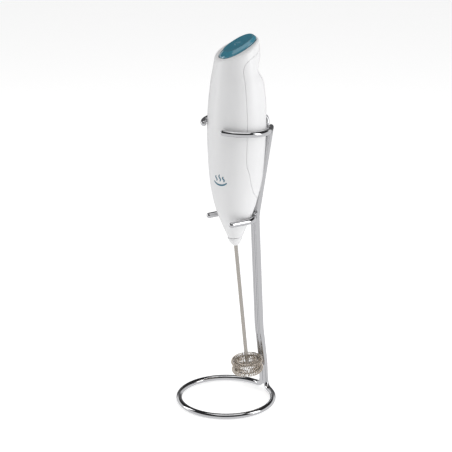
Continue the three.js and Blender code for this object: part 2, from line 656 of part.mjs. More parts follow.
function motor() {
  const capLow = motorHigh - END_CAP_LENGTH;
  const bossLow = motorLow - MOTOR_BOSS.height;
  const can = cut(
    join(motorSlab(0, motorLow, capLow - GAP), rod(MOTOR_BOSS.radius, bossLow, motorLow + MOTOR_WALL / 2)),
    motorSlab(MOTOR_WALL, motorLow + MOTOR_WALL, capLow),
    rod(MOTOR_SHAFT_RADIUS + GAP, bossLow - 1, motorLow + 2 * MOTOR_WALL));
  const cap = cut(
    motorSlab(0, capLow, motorHigh),
    rod(MOTOR_SHAFT_RADIUS + GAP, capLow - 1, motorHigh - END_CAP_LENGTH / 2 + GAP));
  const magnetOuter = MOTOR_RADIUS - MOTOR_WALL - GAP;
  const magnetHigh = rotorLow + ROTOR_LENGTH;
  const magnet = (side) => {
    const swing = Math.asin((MOTOR_FLATS / 2 - MOTOR_WALL - GAP) / magnetOuter);
    const outline = new THREE.Shape();
    outline.absarc(0, 0, magnetOuter, -swing, swing, false);
    outline.absarc(0, 0, magnetOuter - MAGNET_THICKNESS, swing, -swing, true);
    const arc = new THREE.ExtrudeGeometry(outline, {
      depth: magnetHigh - rotorLow, bevelEnabled: false, curveSegments: 8,
    });
    arc.translate(0, 0, rotorLow);
    return side > 0 ? arc : arc.rotateZ(PI);
  };
  return [
    piece('motor_can', can, steel),
    piece('motor_end_cap', cap, blackPlastic),
    piece('magnet_right', magnet(1), ferrite),
    piece('magnet_left', magnet(-1), ferrite),
  ];
}

function motorCradle() {
  const low = cradleHigh - CRADLE_LENGTH;
  const ring = cut(motorSlab(-GAP - CRADLE_WALL, low, cradleHigh), motorSlab(-GAP, low - 1, cradleHigh + 1));
  const inner = MOTOR_RADIUS + GAP + CRADLE_WALL / 2;
  const outer = screwX + SCREW_RADIUS + GAP / 2;
  const ears = [1, -1].map((side) =>
    box(outer - inner, EAR_THICKNESS, low, cradleHigh, side * (outer + inner) / 2, 0));
  const holes = [1, -1].map((side) => crossRod(SCREW_RADIUS + GAP, -5, 5, side * screwX, cradleMiddle));
  return piece('motor_cradle', cut(join(ring, ...ears), ...holes), blackPlastic);
}

function cradleScrew(name, side) {
  const face = EAR_THICKNESS / 2 + GAP;
  const end = bossEnd - onDrive(cradleMiddle).y - SCREW_BITE;
  const shank = crossRod(SCREW_RADIUS, end, face + GAP, side * screwX, cradleMiddle, 12);
  const head = crossRod(SCREW_HEAD_RADIUS, face, face + SCREW_HEAD_HEIGHT, side * screwX, cradleMiddle, 12);
  return piece(name, join(shank, head), steel);
}

function rotor() {
  const high = rotorLow + ROTOR_LENGTH;
  const hub = MOTOR_SHAFT_RADIUS + GAP;
  const depth = 2 * (ROTOR_RADIUS - hub) / 5;
  const slots = [0, 1, 2].map((i) => box(ROTOR_SLOT, 2 * depth, rotorLow - 1, high + 1, 0, ROTOR_RADIUS)
    .rotateZ(i * 2 * PI / 3));
  const stack = cut(rod(ROTOR_RADIUS, rotorLow, high, 0, 0, 36), ...slots, rod(hub, rotorLow - 1, high + 1));
  const drum = tubeRing(hub, COMMUTATOR.radius, high + GAP, high + GAP + COMMUTATOR.length);
  const shaftLow = couplingLow + COUPLING_LENGTH - COUPLING_SOCKET + GAP;
  const shaft = rod(MOTOR_SHAFT_RADIUS, shaftLow, motorHigh - END_CAP_LENGTH / 2, 0, 0, 14);
  return [
    piece('rotor_stack', stack, copper),
    piece('commutator', drum, copper),
    piece('motor_shaft', shaft, steel),
  ];
}

function coupling() {
  const high = couplingLow + COUPLING_LENGTH;
  const shoulder = high - COUPLING_SOCKET;
  return piece('drive_coupling', turned([
    [SHAFT_RADIUS + GAP, couplingLow], [COUPLING_RADIUS, couplingLow], [COUPLING_RADIUS, high],
    [MOTOR_SHAFT_RADIUS + GAP, high], [MOTOR_SHAFT_RADIUS + GAP, shoulder],
    [SHAFT_RADIUS + GAP, shoulder],
  ]), blackPlastic);
}

// The shaft ends in a foot that turns out between the two coils.
function whiskShaft() {
  const top = couplingLow + COUPLING_LENGTH - COUPLING_SOCKET - GAP;
  const reachOut = WHISK_RADIUS - 2 * COIL_RADIUS - GAP;
  const turn = radians(FOOT_TURN);
  const foot = new THREE.Vector3(reachOut * cos(turn), reachOut * sin(turn), -SHAFT_LENGTH);
  const corners = [
    new THREE.Vector3(0, 0, top), new THREE.Vector3(0, 0, -SHAFT_LENGTH), foot,
  ];
  return piece('whisk_shaft', wire(bent(corners, [SHAFT_BEND]), SHAFT_RADIUS, 10), steel);
}

function whiskCoil(name, level) {
  const middle = WHISK_RADIUS - COIL_RADIUS;
  const sides = 8;
  const section = Array.from({ length: sides }, (_, i) => {
    const angle = 2 * PI * i / sides;
    return [middle + COIL_RADIUS * cos(angle), -SHAFT_LENGTH + level + COIL_RADIUS * sin(angle)];
  });
  return piece(name, turned(section, 28), steel);
}

// ---- Assembly -----------------------------------------------------------------------------

function driveGroup(...meshes) {
  const group = new THREE.Group();
  group.position.copy(noseTip);
  group.rotation.x = tilt;
  group.add(...meshes);
  return group;
}

function assemble() {
  const shells = housing();
  const coilLevel = COIL_RADIUS + GAP / 2;
  const group = new THREE.Group();
  group.add(
    baseRing(), upright('upright_right', 1, 0), upright('upright_left', -1, PRONG_STEP), lowerFork(),
    frontShell(shells), rearCover(shells), pushButton(), buttonSpring(), ...switchParts(),
    cell('cell_right', 1, true), cell('cell_left', -1, false), carrier(), ...contacts(),
    lead('lead_red', 1, redLead), lead('lead_black', -1, blackLead),
    driveGroup(
      noseCone(), shaftBush(), ...motor(), motorCradle(), cradleScrew('cradle_screw_right', 1),
      cradleScrew('cradle_screw_left', -1), ...rotor(), coupling(), whiskShaft(),
      whiskCoil('whisk_coil_upper', coilLevel), whiskCoil('whisk_coil_lower', -coilLevel)),
  );
  // Stand the whole object with the middle of its box over the origin and its base on z = 0.
  group.updateMatrixWorld(true);
  const bounds = new THREE.Box3().setFromObject(group, true);
  const middle = bounds.getCenter(new THREE.Vector3());
  group.position.set(-middle.x, -middle.y, -bounds.min.z);
  return group;
}

const group = assemble();
export default group;
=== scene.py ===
"""A battery milk frother resting in its bent-wire stand, in a plain pale studio."""
import json
import logging
import math
from dataclasses import dataclass, field
from enum import Enum
from typing import Any

import bpy
import numpy as np
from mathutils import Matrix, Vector


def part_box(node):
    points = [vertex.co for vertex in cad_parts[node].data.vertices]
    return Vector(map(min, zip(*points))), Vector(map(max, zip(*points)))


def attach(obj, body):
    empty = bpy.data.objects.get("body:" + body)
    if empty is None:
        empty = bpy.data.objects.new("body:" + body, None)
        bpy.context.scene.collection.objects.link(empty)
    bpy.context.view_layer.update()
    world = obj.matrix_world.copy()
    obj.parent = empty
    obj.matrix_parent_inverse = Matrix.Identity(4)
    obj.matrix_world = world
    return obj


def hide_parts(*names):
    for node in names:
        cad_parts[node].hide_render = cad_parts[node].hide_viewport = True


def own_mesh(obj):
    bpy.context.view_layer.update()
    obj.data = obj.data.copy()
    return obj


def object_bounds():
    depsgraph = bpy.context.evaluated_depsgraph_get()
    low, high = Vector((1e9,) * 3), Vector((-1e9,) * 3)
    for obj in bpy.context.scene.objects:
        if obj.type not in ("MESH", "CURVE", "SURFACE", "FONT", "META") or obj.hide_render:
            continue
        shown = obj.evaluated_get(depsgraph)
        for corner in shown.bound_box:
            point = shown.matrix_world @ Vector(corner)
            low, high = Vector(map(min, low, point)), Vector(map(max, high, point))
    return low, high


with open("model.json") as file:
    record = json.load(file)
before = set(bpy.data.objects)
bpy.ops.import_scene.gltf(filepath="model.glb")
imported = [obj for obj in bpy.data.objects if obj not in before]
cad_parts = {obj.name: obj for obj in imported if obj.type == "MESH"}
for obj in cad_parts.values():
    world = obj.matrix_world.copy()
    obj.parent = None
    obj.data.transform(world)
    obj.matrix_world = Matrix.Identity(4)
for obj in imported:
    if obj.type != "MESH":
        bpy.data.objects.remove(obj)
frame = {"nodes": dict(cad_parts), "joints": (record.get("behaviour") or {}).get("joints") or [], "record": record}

Array = np.ndarray
LOG = logging.getLogger("frother")
CAD_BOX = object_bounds()
MM = 0.001
GAP = 0.3 * MM
OVAL_POWER = 0.86
WHITE_LIGHT = (1.0, 1.0, 1.0, 1.0)
Direction = tuple[float, float, float]


# ---- Small tools for curves and surfaces ------------------------------------------------------


def unit(vectors: Array) -> Array:
    """Return the vectors, last axis being x, y, z, scaled to length 1."""
    return vectors / np.maximum(np.linalg.norm(vectors, axis=-1, keepdims=True), 1e-12)


def fuller(wave: Array) -> Array:
    """Return a sine or cosine flattened a little, for ovals with fuller corners."""
    return np.sign(wave) * np.abs(wave) ** OVAL_POWER


def full_turn(count: int) -> Array:
    """Return count turns in radians, evenly spaced round a circle."""
    return 2 * math.pi * np.arange(count) / count


def linked(name: str, data: bpy.types.ID) -> bpy.types.Object:
    """Make an object and link it to the scene.

    Args:
        name: the object's name.
        data: its mesh, camera or light.

    Returns:
        The new object, at the origin.
    """
    item = bpy.data.objects.new(name, data)
    bpy.context.scene.collection.objects.link(item)
    return item


def curve_through(points: list[Array], count: int = 12) -> Array:
    """Bezier curve of two, three or four control points.

    Formula: the sum of each control point times its Bernstein weight.

    Args:
        points: control points, each an array of coordinates.
        count: number of points on the result.

    Returns:
        Array of count points.
    """
    t = np.linspace(0, 1, count)[:, None]
    last = len(points) - 1
    weights = [math.comb(last, k) * t**k * (1 - t) ** (last - k) for k in range(last + 1)]
    return sum(w * np.asarray(p, float) for w, p in zip(weights, points))


def respaced(path: Array, step: float) -> Array:
    """Space a path's points evenly.

    Formula: each coordinate is interpolated linearly over the length run so far.

    Args:
        path: points along the path, in two or three coordinates.
        step: about how far apart the new points lie.

    Returns:
        Array of points from the same start to the same end.
    """
    moves = np.linalg.norm(np.diff(path, axis=0), axis=1)
    path = path[np.concatenate([[True], moves > 1e-9])]
    along = np.concatenate([[0], np.cumsum(np.linalg.norm(np.diff(path, axis=0), axis=1))])
    even = np.linspace(0, along[-1], max(int(round(along[-1] / step)), 2) + 1)
    return np.stack([np.interp(even, along, column) for column in path.T], axis=1)


def softened(values: Array, width: float) -> Array:
    """Smooth a row of values or points with a bell-shaped running mean; its ends stay put.

    Args:
        values: array whose first axis runs along the row.
        width: the bell's standard deviation, in steps.

    Returns:
        Array of the same shape.
    """
    reach = int(math.ceil(3 * width))
    offsets = np.arange(-reach, reach + 1)
    bell = np.exp(-0.5 * (offsets / width) ** 2)
    bell /= bell.sum()
    table = values.reshape(len(values), -1)
    before = 2 * table[0] - table[reach:0:-1]
    after = 2 * table[-1] - table[-2:-reach - 2:-1]
    padded = np.concatenate([before, table, after])
    smooth = [np.convolve(padded[:, k], bell, mode="valid") for k in range(table.shape[1])]
    return np.stack(smooth, axis=1).reshape(values.shape)


def bent(corners: list[Array], radii: list[float], steps: int = 14) -> Array:
    """Straight runs joined by bends, as a wire is bent on a jig.

    Formula: each inner corner is cut back by radius times the tangent of half the turn, and
    a three-point Bezier curve joins the two cuts.

    Args:
        corners: the corner points from end to end.
        radii: one bend radius for each inner corner.
        steps: points on each bend.

    Returns:
        Array of points along the wire's middle.
    """
    runs = [np.asarray(corners[0], float)[None]]
    for before, corner, after, radius in zip(corners, corners[1:], corners[2:], radii):
        back, ahead = unit(before - corner), unit(after - corner)
        length = radius * math.tan((math.pi - math.acos(float(back @ ahead))) / 2)
        runs.append(curve_through([corner + back * length, corner, corner + ahead * length], steps))
    runs.append(np.asarray(corners[-1], float)[None])
    return np.concatenate(runs)


def circles(along: Array, outward: Array, sides: int) -> Array:
    """Unit circles square to a path.

    Formula: a circle's first direction is the part of the outward direction square to the
    path, and its second is the path's direction crossed with the first.

    Args:
        along: the path's direction at each point.
        outward: a direction for each point, never along the path.
        sides: points round a circle.

    Returns:
        Array of points by sides by 3.
    """
    first = unit(outward - (outward * along).sum(-1, keepdims=True) * along)
    second = np.cross(along, first)
    turn = full_turn(sides)[None, :, None]
    return np.cos(turn) * first[:, None] + np.sin(turn) * second[:, None]


@dataclass
class Skin:
    """Vertices, faces and surface coordinates of one piece, gathered grid by grid."""

    vertices: list[Array] = field(default_factory=list)
    coordinates: list[Array] = field(default_factory=list)
    quads: list[Array] = field(default_factory=list)
    triangles: list[Array] = field(default_factory=list)
    count: int = 0

    def add_points(self, points: Array, uv: Array) -> int:
        """Add points.

        Args:
            points: their places, the last axis being x, y, z.
            uv: their surface coordinates, in the same order.

        Returns:
            The number of the first one.
        """
        first = self.count
        self.vertices.append(points.reshape(-1, 3))
        self.coordinates.append(uv.reshape(-1, 2))
        self.count += points.size // 3
        return first

    def add_grid(self, grid: Array, poles: bool = True, ring: bool = False) -> None:
        """Add a surface given as rows of closed loops.

        Formula: each four neighbouring grid points make one face; rows run along the piece
        and columns anticlockwise about that direction, so faces point outwards.

        Args:
            grid: points, shaped rows by columns by 3.
            poles: close both ends with a fan about the end loop's middle.
            ring: join the last row to the first instead.
        """
        rows, columns = grid.shape[:2]
        along = np.concatenate([[0], np.cumsum(np.linalg.norm(np.diff(grid[:, 0], axis=0), axis=1))])
        around = np.arange(columns) / columns
        uv = np.stack(np.meshgrid(along, around, indexing="ij"), axis=-1)
        first = self.add_points(grid, uv)
        ids = first + np.arange(rows * columns).reshape(rows, columns)
        low = ids if ring else ids[:-1]
        high = np.roll(ids, -1, axis=0) if ring else ids[1:]
        faces = [low, np.roll(low, -1, axis=1), np.roll(high, -1, axis=1), high]
        self.quads.append(np.stack(faces, axis=-1).reshape(-1, 4))
        if poles and not ring:
            start = self.add_points(grid[0].mean(0), np.array([along[0], 0.5]))
            end = self.add_points(grid[-1].mean(0), np.array([along[-1], 0.5]))
            fan = [np.roll(ids[0], -1), ids[0], np.full(columns, start)]
            self.triangles.append(np.stack(fan, axis=1))
            fan = [ids[-1], np.roll(ids[-1], -1), np.full(columns, end)]
            self.triangles.append(np.stack(fan, axis=1))

    def add_tube(self, path: Array, outward: Array, radius: float, sides: int) -> None:
        """Add a round wire with domed ends along a path.

        Formula: at each point a circle of the wire's radius lies square to the path; each
        end carries a quarter-circle dome.

        Args:
            path: points along the wire's middle.
            outward: a direction for each point, never along the path.
            radius: the wire's radius.
            sides: points round the wire.
        """
        along = unit(np.gradient(path, axis=0))
        dome = np.linspace(0.5 * math.pi, 0, 7)[1:-1]
        before = path[0] - along[0] * radius * np.sin(dome)[:, None]
        after = path[-1] + along[-1] * radius * np.sin(dome[::-1])[:, None]
        widths = np.concatenate([np.cos(dome), np.ones(len(path)), np.cos(dome[::-1])]) * radius
        path = np.concatenate([before, path, after])
        ends = ((len(dome), len(dome)), (0, 0))
        along, outward = np.pad(along, ends, "edge"), np.pad(outward, ends, "edge")
        self.add_grid(path[:, None] + widths[:, None, None] * circles(along, outward, sides))
        tip = radius * (1 - math.sin(dome[0]))
        self.vertices[-2] = (path[0] - along[0] * tip)[None]
        self.vertices[-1] = (path[-1] + along[-1] * tip)[None]

    def add_rod(self, start: Array, end: Array, radius: float, sides: int = 24) -> None:
        """Add a straight round rod with domed ends.

        Args:
            start: where its straight part starts.
            end: where its straight part ends.
            radius: its radius.
            sides: points round it.
        """
        side = unit(np.cross(unit(end - start), [0.3, 0.5, 0.8]))
        self.add_tube(np.stack([start, end]), np.repeat(side[None], 2, 0), radius, sides)

    def to_object(self, name: str) -> bpy.types.Object:
        """Make the Blender object: smooth faces, a UV map holding the surface coordinates.

        Args:
            name: the piece's name.

        Returns:
            The new object, at the origin, with its place in its mesh.
        """
        blocks = self.quads + self.triangles
        used = np.unique(np.concatenate([block.ravel() for block in blocks]))
        number = np.full(self.count, -1)
        number[used] = np.arange(len(used))
        mesh = bpy.data.meshes.new(name)
        faces = [face for block in blocks for face in number[block].tolist()]
        mesh.from_pydata(np.concatenate(self.vertices)[used].tolist(), [], faces)
        uv = np.concatenate(self.coordinates)[used]
        corner = np.zeros(len(mesh.loops), np.int32)
        mesh.loops.foreach_get("vertex_index", corner)
        layer = mesh.uv_layers.new(name="surface")
        layer.data.foreach_set("uv", uv[corner].astype(np.float32).ravel())
        mesh.polygons.foreach_set("use_smooth", np.ones(len(mesh.polygons), bool))
        mesh.update()
        return linked(name, mesh)


# ---- Materials --------------------------------------------------------------------------------


class Value:
    """A number that varies over the surface; arithmetic on it adds Math nodes."""

    def __init__(self, maker: "NodeMaker", socket: bpy.types.NodeSocket) -> None:
        """Wrap one output socket."""
        self.maker = maker
        self.socket = socket

    def _with(self, operation: str, first: Any, second: Any) -> "Value":
        """Return a Math node's result on two values or numbers."""
        node = self.maker.node("ShaderNodeMath", {"operation": operation}, {0: first, 1: second})
        return Value(self.maker, node.outputs[0])

    def __add__(self, other: Any) -> "Value":
        """Return self + other."""
        return self._with("ADD", self, other)

    __radd__ = __add__

    def __sub__(self, other: Any) -> "Value":
        """Return self - other."""
        return self._with("SUBTRACT", self, other)

    def __rsub__(self, other: Any) -> "Value":
        """Return other - self."""
        return self._with("SUBTRACT", other, self)

    def __mul__(self, other: Any) -> "Value":
        """Return self * other."""
        return self._with("MULTIPLY", self, other)

    __rmul__ = __mul__

    def above(self, edge: Any, softness: float) -> "Value":
        """Compare with an edge.

        Args:
            edge: the number or value to compare with.
            softness: the width of the ramp between the two results.

        Returns:
            0 where self is well under the edge, 1 where it is well over.
        """
        ramp = (self - edge) * (1 / softness) + 0.5
        node = self.maker.node("ShaderNodeClamp", {}, {"Value": ramp})
        return Value(self.maker, node.outputs[0])


class NodeMaker:
    """Adds nodes to the tree of one material or world."""

    def __init__(self, tree: bpy.types.NodeTree) -> None:
        """Work on one node tree."""
        self.tree = tree
        self.shader = tree.nodes.get("Principled BSDF")

    def node(self, kind: str, settings: dict[str, Any], inputs: dict[Any, Any]) -> bpy.types.Node:
        """Add a node.

        Args:
            kind: the node's type name.
            settings: its properties, set first.
            inputs: socket name or number to a value, a Value or a socket.

        Returns:
            The new node.
        """
        made = self.tree.nodes.new(kind)
        for key, setting in settings.items():
            setattr(made, key, setting)
        for key, given in inputs.items():
            self.feed(made.inputs[key], given)
        return made

    def feed(self, socket: bpy.types.NodeSocket, given: Any) -> None:
        """Fill one input.

        Args:
            socket: the input.
            given: a Value or a socket to link, or a plain number or colour to set.
        """
        if isinstance(given, Value):
            given = given.socket
        if isinstance(given, bpy.types.NodeSocket):
            self.tree.links.new(given, socket)
        else:
            socket.default_value = given

    def place(self, surface: bool, stretch: Direction) -> bpy.types.NodeSocket:
        """Make the coordinates of a pattern.

        Args:
            surface: read the piece's own UV map, not its Object coordinates.
            stretch: what each coordinate is multiplied by.

        Returns:
            The output that carries the coordinates.
        """
        source = self.node("ShaderNodeTexCoord", {}, {})
        start = source.outputs["UV" if surface else "Object"]
        mapping = self.node("ShaderNodeMapping", {}, {"Vector": start, "Scale": stretch})
        return mapping.outputs["Vector"]

    def along(self, where: bpy.types.NodeSocket, direction: Direction) -> Value:
        """Return how far a vector goes in a direction."""
        made = self.node("ShaderNodeVectorMath", {"operation": "DOT_PRODUCT"}, {0: where, 1: direction})
        return Value(self, made.outputs["Value"])

    def noise(self, where: bpy.types.NodeSocket, scale: float, detail: float = 2.0) -> Value:
        """Return soft noise from 0 to 1 with about scale blobs to the unit."""
        made = self.node("ShaderNodeTexNoise", {}, {"Vector": where, "Scale": scale, "Detail": detail})
        return Value(self, made.outputs["Fac"])

    def blend(self, share: Value, first: tuple, second: tuple) -> bpy.types.NodeSocket:
        """Return the mix of two colours by share."""
        inputs = {"Factor": share, "A": first, "B": second}
        return self.node("ShaderNodeMix", {"data_type": "RGBA"}, inputs).outputs["Result"]

    def bump(self, height: Value, distance: float, strength: float = 1.0) -> None:
        """Let a height tilt the shading normal.

        Args:
            height: the height, from 0 to 1.
            distance: metres that a height of 1 stands for.
            strength: how much of the tilt is used.
        """
        inputs = {"Height": height, "Distance": distance, "Strength": strength}
        made = self.node("ShaderNodeBump", {}, inputs)
        self.feed(self.shader.inputs["Normal"], made.outputs["Normal"])


@dataclass(frozen=True)
class Layer:
    """One layer of noise: its blobs to the unit, its detail, and the stretch of its place."""

    scale: float
    detail: float = 2.0
    stretch: Direction = (1.0, 1.0, 1.0)


class Grain(Enum):
    """How a finish varies: slow colour drift, fine grain, the grain's depth in metres, and
    whether both follow the piece's own surface coordinates."""

    MOULDED = (Layer(45.0), Layer(2600.0, 3.0), 1.2e-6, False)
    PLATED = (Layer(1.0, 2.0, (40.0, 30.0, 1.0)), Layer(3.0, 2.0, (40.0, 30.0, 1.0)), 0.4e-6, True)
    DRAWN = (Layer(1.0, 2.0, (60.0, 24.0, 1.0)), Layer(2.0, 4.0, (60.0, 24.0, 1.0)), 3e-6, True)
    STAMPED = (Layer(160.0), Layer(500.0, 4.0, (1.0, 14.0, 1.0)), 3e-6, False)
    PRINTED = (Layer(120.0), Layer(1500.0), 1.5e-6, False)
    SINTERED = (Layer(300.0, 5.0), Layer(1800.0, 5.0), 8e-6, False)


@dataclass(frozen=True)
class Finish:
    """One material: its colour, gloss and grain."""

    name: str
    colour: tuple[float, float, float]
    roughness: float
    grain: Grain
    metallic: float = 0.0
    coat: float = 0.0
    shade: float = 0.03
    coat_roughness: float = 0.06
    gloss_drift: float = 0.5

    def tint(self, factor: float) -> tuple[float, ...]:
        """Return the colour made lighter or darker by a factor, with its alpha."""
        return tuple(min(part * factor, 1.0) for part in self.colour) + (1.0,)

    def build(self) -> bpy.types.Material:
        """Make the node material.

        Formula: the colour drifts between two tints with the slow noise; roughness and the
        bump's height follow the fine noise.

        Returns:
            The material.
        """
        material = bpy.data.materials.new(self.name)
        material.use_nodes = True
        maker = NodeMaker(material.node_tree)
        shader = maker.shader
        maker.feed(shader.inputs["Metallic"], self.metallic)
        maker.feed(shader.inputs["Coat Weight"], self.coat)
        maker.feed(shader.inputs["Coat Roughness"], self.coat_roughness)
        *layers, depth, surface = self.grain.value
        drift, fine = (maker.noise(maker.place(surface, layer.stretch), layer.scale, layer.detail)
                       for layer in layers)
        colour = maker.blend(drift, self.tint(1 - self.shade), self.tint(1 + self.shade))
        maker.feed(shader.inputs["Base Color"], colour)
        spread = self.gloss_drift * self.roughness
        maker.feed(shader.inputs["Roughness"], fine * spread + (self.roughness - 0.5 * spread))
        maker.bump(fine, depth)
        return material


CHROME = Finish("chrome_wire", (0.62, 0.62, 0.63), 0.06, Grain.PLATED, 1.0)
WHITE = Finish("white_plastic", (0.765, 0.765, 0.77), 0.42, Grain.MOULDED, 0.0, 0.12, 0.012)
TEAL = Finish("teal_plastic", (0.054, 0.22, 0.30), 0.14, Grain.MOULDED, 0.0, 1.0, 0.05)
INK = Finish("teal_ink", (0.05, 0.17, 0.24), 0.40, Grain.PRINTED, 0.0, 0.0, 0.08)
BLACK = Finish("black_plastic", (0.03, 0.03, 0.032), 0.50, Grain.MOULDED)
SPRING = Finish("spring_steel", (0.62, 0.61, 0.59), 0.28, Grain.STAMPED, 1.0)
SHAFT = Finish("shaft_steel", (0.52, 0.49, 0.45), 0.26, Grain.DRAWN, 1.0, 0.0, 0.06)
WHISK = Finish("whisk_steel", (0.66, 0.60, 0.53), 0.12, Grain.DRAWN, 1.0, 0.0, 0.08)
MOTOR = Finish("motor_steel", (0.55, 0.55, 0.56), 0.35, Grain.STAMPED, 1.0)
BRASS = Finish("brass", (0.60, 0.44, 0.17), 0.32, Grain.STAMPED, 1.0, 0.0, 0.08)
COPPER = Finish("copper", (0.55, 0.25, 0.12), 0.38, Grain.STAMPED, 1.0, 0.0, 0.1)
FERRITE = Finish("ferrite", (0.05, 0.05, 0.055), 0.75, Grain.SINTERED)
JACKET = Finish("cell_jacket", (0.06, 0.16, 0.09), 0.30, Grain.PRINTED, 0.2, 0.3)
RED_LEAD = Finish("red_lead", (0.42, 0.03, 0.02), 0.50, Grain.MOULDED)
BLACK_LEAD = Finish("black_lead", (0.015, 0.015, 0.016), 0.50, Grain.MOULDED)
INNER_FINISHES = (BLACK, SPRING, MOTOR, BRASS, COPPER, FERRITE, JACKET, RED_LEAD, BLACK_LEAD)


class Paintshop:
    """Makes each finish once and dresses pieces with it."""

    def __init__(self) -> None:
        """Start with no materials made."""
        self.made: dict[str, bpy.types.Material] = {}

    def material(self, finish: Finish) -> bpy.types.Material:
        """Look up a finish's material, and make it on first use.

        Args:
            finish: the finish.

        Returns:
            Its material.
        """
        if finish.name not in self.made:
            self.made[finish.name] = finish.build()
        return self.made[finish.name]

    def coat(self, item: bpy.types.Object, finish: Finish) -> None:
        """Put a finish on an object in place of what it has."""
        item.data.materials.clear()
        item.data.materials.append(self.material(finish))

    def dress(self, item: bpy.types.Object, finish: Finish, slot: str, body: str, *nodes: str) -> None:
        """Finish a new piece and tie it to the frame.

        Args:
            item: the piece.
            finish: its finish.
            slot: the record's material slot that it takes; not used.
            body: the body that it rides on.
            nodes: the CAD nodes that it stands for.
        """
        self.coat(item, finish)
        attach(item, body)
        if nodes:
            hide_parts(*nodes)
        LOG.info("%s: %d faces, %s, on %s", item.name, len(item.data.polygons), finish.name, body)

    def dress_frame(self) -> None:
        """Give every CAD node that still shows the finish of its record's slot."""
        by_slot = {finish.name: finish for finish in INNER_FINISHES}
        for part in frame["record"]["subparts"]:
            node = frame["nodes"][part["node"]]
            if node.hide_render:
                continue
            finish = by_slot[part["material_slot"]]
            self.coat(node, finish)
            LOG.info("%s: CAD node, %s", node.name, finish.name)


# ---- Places shared by the pieces --------------------------------------------------------------


def joint(name: str) -> dict[str, Any]:
    """Return the record's joint of that name."""
    return next(j for j in frame["joints"] if j["name"] == name)


@dataclass
class DriveLine:
    """The tilted axis that the nose, shaft and whisk turn about; heights start at the nose tip."""

    shaft_length: float = 78.3 * MM
    nose_length: float = 5.2 * MM

    def __post_init__(self) -> None:
        """Read the axis from the whisk's joint."""
        spin = joint("whisk_spin")
        self.tip = np.array(spin["pos_m"], float)
        self.axis = unit(np.array(spin["axis"], float))
        self.side = np.array([1.0, 0.0, 0.0])
        self.back = np.cross(self.axis, self.side)

    def place(self, local: Array) -> Array:
        """Return points given as (right, back, up the axis) in the row frame."""
        return (self.tip + local[..., :1] * self.side + local[..., 1:2] * self.back
                + local[..., 2:] * self.axis)

    def turned(self, profile: Array, sides: int) -> Array:
        """Sweep a profile about the axis.

        Formula: across is radius times the cosine and sine of the turn; height stays.

        Args:
            profile: rows of radius and height.
            sides: points round the axis.

        Returns:
            Array of rows by sides by 3.
        """
        turn = full_turn(sides)
        radius, height = profile[:, :1], profile[:, 1:]
        local = [radius * np.cos(turn), radius * np.sin(turn), height + 0 * turn]
        return self.place(np.stack(local, axis=-1))


